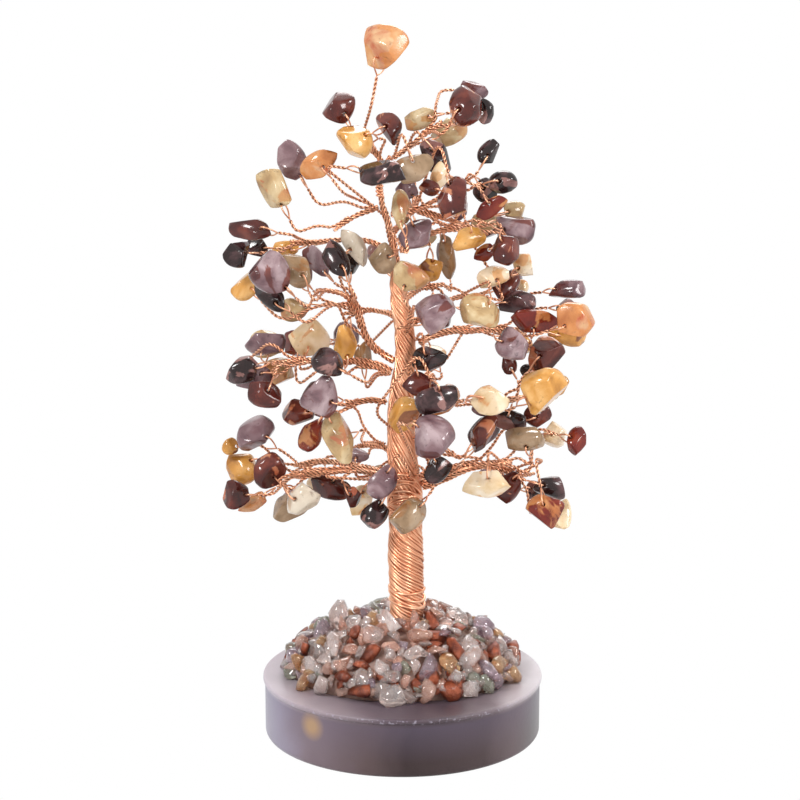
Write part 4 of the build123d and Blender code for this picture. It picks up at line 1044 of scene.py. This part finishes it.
def bundle_wires(wires, line, radii, lay, seed):
    """A bundle as twisted pairs laid round its centre line, over a plain core."""
    line, radii = evenly(line, WIRE_STEP * 2, radii)
    line, radii = evenly(smoothed(line, 12), WIRE_STEP, radii)
    side, other = cross_directions(line)
    lengths = lengths_along(line)
    taper = np.interp(lengths[-1] - lengths, (0.0, TIP_LENGTH), (TIP_SHARE, 1.0))
    ring = np.maximum(radii - TWIG_RADIUS, CORE_LEAST) * taper
    count = max(3, int(round(2 * pi * ring.mean() / PAIR_ROOM)))
    rng = np.random.default_rng(seed)
    for i in range(count):
        stray = LIMB_STRAY * np.sin(lengths / LIMB_WAVE + rng.uniform(0, 6))
        angle = 2 * pi * (lengths / lay + i / count) + stray
        path = line + (np.cos(angle)[:, None] * side + np.sin(angle)[:, None] * other) * ring[:, None]
        wires.add_pair(path, PAIR_PITCH * rng.uniform(0.9, 1.2), rng.uniform(0, 6), sides=5)
    wires.add(line, np.maximum(ring * 0.8, CORE_LEAST), sides=THICK_SIDES)


def rooted(line, bundle):
    """A twig's line carried on along the surface of the bundle that it leaves."""
    core, radii = bundle
    i = int(np.argmin(np.linalg.norm(core - line[0], axis=1)))
    outward = unit(line[0] - core[i])
    extra = []
    reach = 0.0
    while i > 0 and reach < ROOT_LENGTH:
        reach += np.linalg.norm(core[i] - core[i - 1])
        i -= 1
        extra.append(core[i] + outward * max(radii[i] - 0.0001, 0.0003))
    if not extra:
        return line
    return np.vstack([np.array(extra[::-1])[len(extra) % 2 :: 2], line])


def loop_line(points, neck):
    """A wire loop's line, read from the plane and the reach of its CAD tube."""
    centre = points.mean(axis=0)
    normal = np.linalg.svd(points - centre, full_matrices=False)[2][2]
    outward = neck - centre
    outward = unit(outward - np.dot(outward, normal) * normal)
    across = np.cross(normal, outward)
    reach = (points - centre) @ outward
    start = reach.min() + WIRE_RADIUS
    end = reach.max() - WIRE_RADIUS
    width = (points - centre) @ across
    low = width.min() + WIRE_RADIUS
    high = width.max() - WIRE_RADIUS
    middle = (low + high) / 2
    half = (high - low) / 2
    shape = LOOP_SHAPE + tuple((share, -wide) for share, wide in LOOP_SHAPE[::-1])
    return np.array([
        centre + outward * (start + share * (end - start)) + across * (middle + half * wide)
        for share, wide in shape
    ])


def limb_piece(name, seed):
    """A limb: its bundle of twisted pairs, its twigs and the loops through the stones."""
    rng = np.random.default_rng(seed)
    bundle, twigs, loops = wire_parts(name)
    wires = Wires()
    if bundle is not None:
        line, radii = bundle
        if np.linalg.norm(line[0, :2]) > np.linalg.norm(line[-1, :2]):
            bundle = (line[::-1], radii[::-1])
        bundle_wires(wires, *bundle, LONG_LAY if name == "limb_low_left" else LIMB_LAY, seed)
    loop_centres = np.array([loop.mean(axis=0) for loop in loops])
    for line in twigs:
        start_gap = np.linalg.norm(loop_centres - line[0], axis=1).min()
        end_gap = np.linalg.norm(loop_centres - line[-1], axis=1).min()
        if start_gap < end_gap:
            line = line[::-1]
        neck = line[-1]
        loop = loops[int(np.argmin(np.linalg.norm(loop_centres - neck, axis=1)))]
        if bundle is not None:
            line = rooted(line, bundle)
        line = evenly(smoothed(evenly(line, WIRE_STEP), 10), WIRE_STEP)
        wires.add_pair(line, PAIR_PITCH, rng.uniform(0, 6))
        wires.add(rounded(loop_line(loop, neck)), WIRE_RADIUS)
    piece = wires.piece(f"{name}_wires")
    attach(piece, "root")
    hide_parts(name)


limb_nodes = [name for name in sorted(nodes) if name.startswith(("limb_", "leader", "trunk_twigs"))]
for i, name in enumerate(limb_nodes):
    limb_piece(name, 300 + i)


# Trunk

def layer(wires, line, radii, slopes, depths, seed):
    """A layer of single wires round the trunk, its slope and its depth given by height."""
    rng = np.random.default_rng(seed)
    heights = np.arange(depths[0][0], depths[0][-1], TRUNK_STEP)
    centre = at_heights(line, heights)
    ring = np.interp(heights, line[:, 2], radii) - TRUNK_WIRE_RADIUS
    slope = np.interp(heights, *slopes)
    turn = np.cumsum(TRUNK_STEP / (ring * slope))
    count = int((2 * pi * ring * np.sin(np.arctan(slope))).mean() / TRUNK_WIRE_ROOM)
    for i in range(count):
        stray = TRUNK_STRAY * np.sin(heights / TRUNK_WAVE + rng.uniform(0, 2 * pi))
        angle = -turn + 2 * pi * i / count + stray + rng.uniform(-0.03, 0.03)
        out = ring - TRUNK_DIP * (1 + np.sin(heights / DIP_WAVE + rng.uniform(0, 2 * pi))) / 2
        out = out - np.interp(heights, *depths)
        path = evenly(centre + level_ring(angle) * out[:, None], 2 * TRUNK_STEP)
        outward = path - at_heights(line, path[:, 2])
        outward /= np.linalg.norm(outward, axis=1)[:, None]
        wires.add(path, TRUNK_WIRE_RADIUS, outward=outward)


def wound(line, radii, low, high, turns, slant, lift, radius):
    """The path of a wire wound close on a stem, leaning to one side and raised in front."""
    turn = np.linspace(0, 2 * pi * turns, TURN_POINTS * turns)
    heights = low + radius + (high - low - 2 * radius) * turn / turn[-1]
    out = np.interp(heights, line[:, 2], radii) - WIRE_BED * radius
    tilt = slant * np.cos(turn + LEAN_ANGLE) - lift * np.sin(turn)
    heights = heights + tilt * np.sin(pi * turn / turn[-1])
    return at_heights(line, heights) + level_ring(turn) * out[:, None]


def trunk_piece():
    """The trunk: wires wound at a shallow slope low down, and a steep bundle that rises out of them."""
    line, radii = stem_line("trunk")
    low, middle, upper, top = line[0, 2], TRUNK_MIDDLE, TRUNK_UPPER, line[-1, 2]
    layers = (
        (
            ((low, 0.050, middle + 0.005), (0.50, 0.60, 1.2)),
            ((low, middle - 0.002, middle + 0.005), (0.0, 0.0, LAYER_DIVE)),
        ),
        (
            ((middle, 0.066, upper), (1.2, 1.7, 1.9)),
            ((middle - 0.005, middle + 0.001, upper, upper + 0.004), (LAYER_DIVE, 0.0, 0.0, LAYER_DIVE)),
        ),
        (
            ((upper, upper + 0.012, top), (1.9, 1.5, 1.7)),
            ((upper - 0.004, upper + 0.001, top - 0.01, top), (LAYER_DIVE, 0.0, 0.0, LAYER_DIVE / 3)),
        ),
    )
    wires = Wires()
    for i, (slopes, depths) in enumerate(layers):
        layer(wires, line, radii, slopes, depths, 5 + i)
    core = evenly(line, 0.001)
    wires.add(core, np.interp(core[:, 2], line[:, 2], radii) - TRUNK_CORE_DROP, sides=24)
    for low_wrap, high_wrap, rise in FORK_WRAPS:
        path = wound(line, radii, low_wrap, high_wrap, WRAP_TURNS, WRAP_SLANT, rise, TRUNK_WIRE_RADIUS)
        wires.add(path, TRUNK_WIRE_RADIUS, sides=THICK_SIDES)
    piece = wires.piece("trunk_wires")
    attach(piece, "root")
    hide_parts("trunk")


def winding_piece(name, stem, turns, slant, lift, radius):
    """A wound wire laid close on its stem, over the same height as in the CAD model."""
    line, radii = stem_line(stem)
    low, high = (corner[2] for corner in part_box(name))
    wires = Wires()
    wires.add(wound(line, radii, low, high, turns, slant, lift, radius), radius, sides=THICK_SIDES)
    piece = wires.piece(f"{name}_wire")
    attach(piece, "root")
    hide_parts(name)


trunk_piece()
winding_piece("foot_winding", "trunk", 4, -0.0026, 0.0004, TRUNK_WIRE_RADIUS)
winding_piece("fork_winding", "trunk", 5, -0.0016, 0.0006, TRUNK_WIRE_RADIUS)
winding_piece("knot_winding", "leader", 5, -0.0006, 0.0, 1.15 * WIRE_RADIUS)


# The set: a white floor and backdrop, soft light and the photograph's viewpoint

def seen_as_white(tree):
    """One for the camera's rays and for those that metal and glass show, nought for light."""
    path = tree.nodes.new("ShaderNodeLightPath")
    found = path.outputs["Is Camera Ray"]
    for kind in ("Is Glossy Ray", "Is Transmission Ray"):
        found = maths(tree, "MAXIMUM", found, path.outputs[kind])
    return found


def floor_material():
    """A pale floor that the camera sees as plain white."""
    material, tree, main = shader("floor_white", Base_Color=(0.80, 0.80, 0.80), Roughness=0.9)
    white = tree.nodes.new("ShaderNodeEmission")
    blend = node(tree, "ShaderNodeMixShader", Fac=seen_as_white(tree))
    feed(blend.inputs[1], main.outputs["BSDF"])
    feed(blend.inputs[2], white.outputs["Emission"])
    feed(tree.nodes["Material Output"].inputs["Surface"], blend.outputs["Shader"])
    return material


def stage():
    """The floor that the ornament stands on."""
    mesh = bpy.data.meshes.new("floor")
    corners = [(x * FLOOR_HALF, y * FLOOR_HALF, 0) for x, y in ((-1, -1), (1, -1), (1, 1), (-1, 1))]
    mesh.from_pydata(corners, [], [(0, 1, 2, 3)])
    mesh.materials.append(floor_material())
    floor = placed("floor", mesh)


def area_light(name, place, size, power):
    """A soft square lamp that faces the tree."""
    data = bpy.data.lights.new(name, "AREA")
    data.size = size
    data.energy = power
    lamp = placed(name, data)
    lamp.location = place
    aim = np.array(LAMP_AIM) - np.array(place)
    lamp.rotation_euler = Vector(aim).to_track_quat("-Z", "Y").to_euler()


def world():
    """Lit as a studio, bright above and at the sides; plain white to the camera, metal and glass."""
    scene_world = bpy.data.worlds.new("studio")
    bpy.context.scene.world = scene_world
    scene_world.use_nodes = True
    tree = scene_world.node_tree
    place = tree.nodes.new("ShaderNodeTexCoord").outputs["Generated"]
    split = node(tree, "ShaderNodeSeparateXYZ", Vector=place)
    above = ramp(tree, split.outputs["Z"], ((0.0, 0.10), (0.30, 0.16), (0.45, 0.60), (1.0, 0.95)))
    sides = ramp(tree, maths(tree, "ABSOLUTE", split.outputs["X"]), ((0.45, 0.0), (0.85, 0.65)))
    studio = mix(tree, 1.0, above, sides, "ADD")
    adjust(tree.nodes["Background"], Color=mix(tree, seen_as_white(tree), studio, (1.0, 1.0, 1.0)))


def camera():
    """The photograph's viewpoint: 0.6 m away, 226 mm up, looking slightly down."""
    data = bpy.data.cameras.new("camera")
    data.sensor_width = SENSOR_WIDTH
    data.lens = FOCAL_PIXELS * SENSOR_WIDTH / PHOTO_PIXELS
    data.clip_start = 0.01
    view = placed("camera", data)
    view.location = CAMERA_PLACE
    view.rotation_euler = (radians(90 - CAMERA_DROP), 0, 0)
    bpy.context.scene.camera = view


stage()
world()
for lamp in LAMPS:
    area_light(*lamp)
camera()
bpy.context.scene.view_settings.view_transform = "Standard"
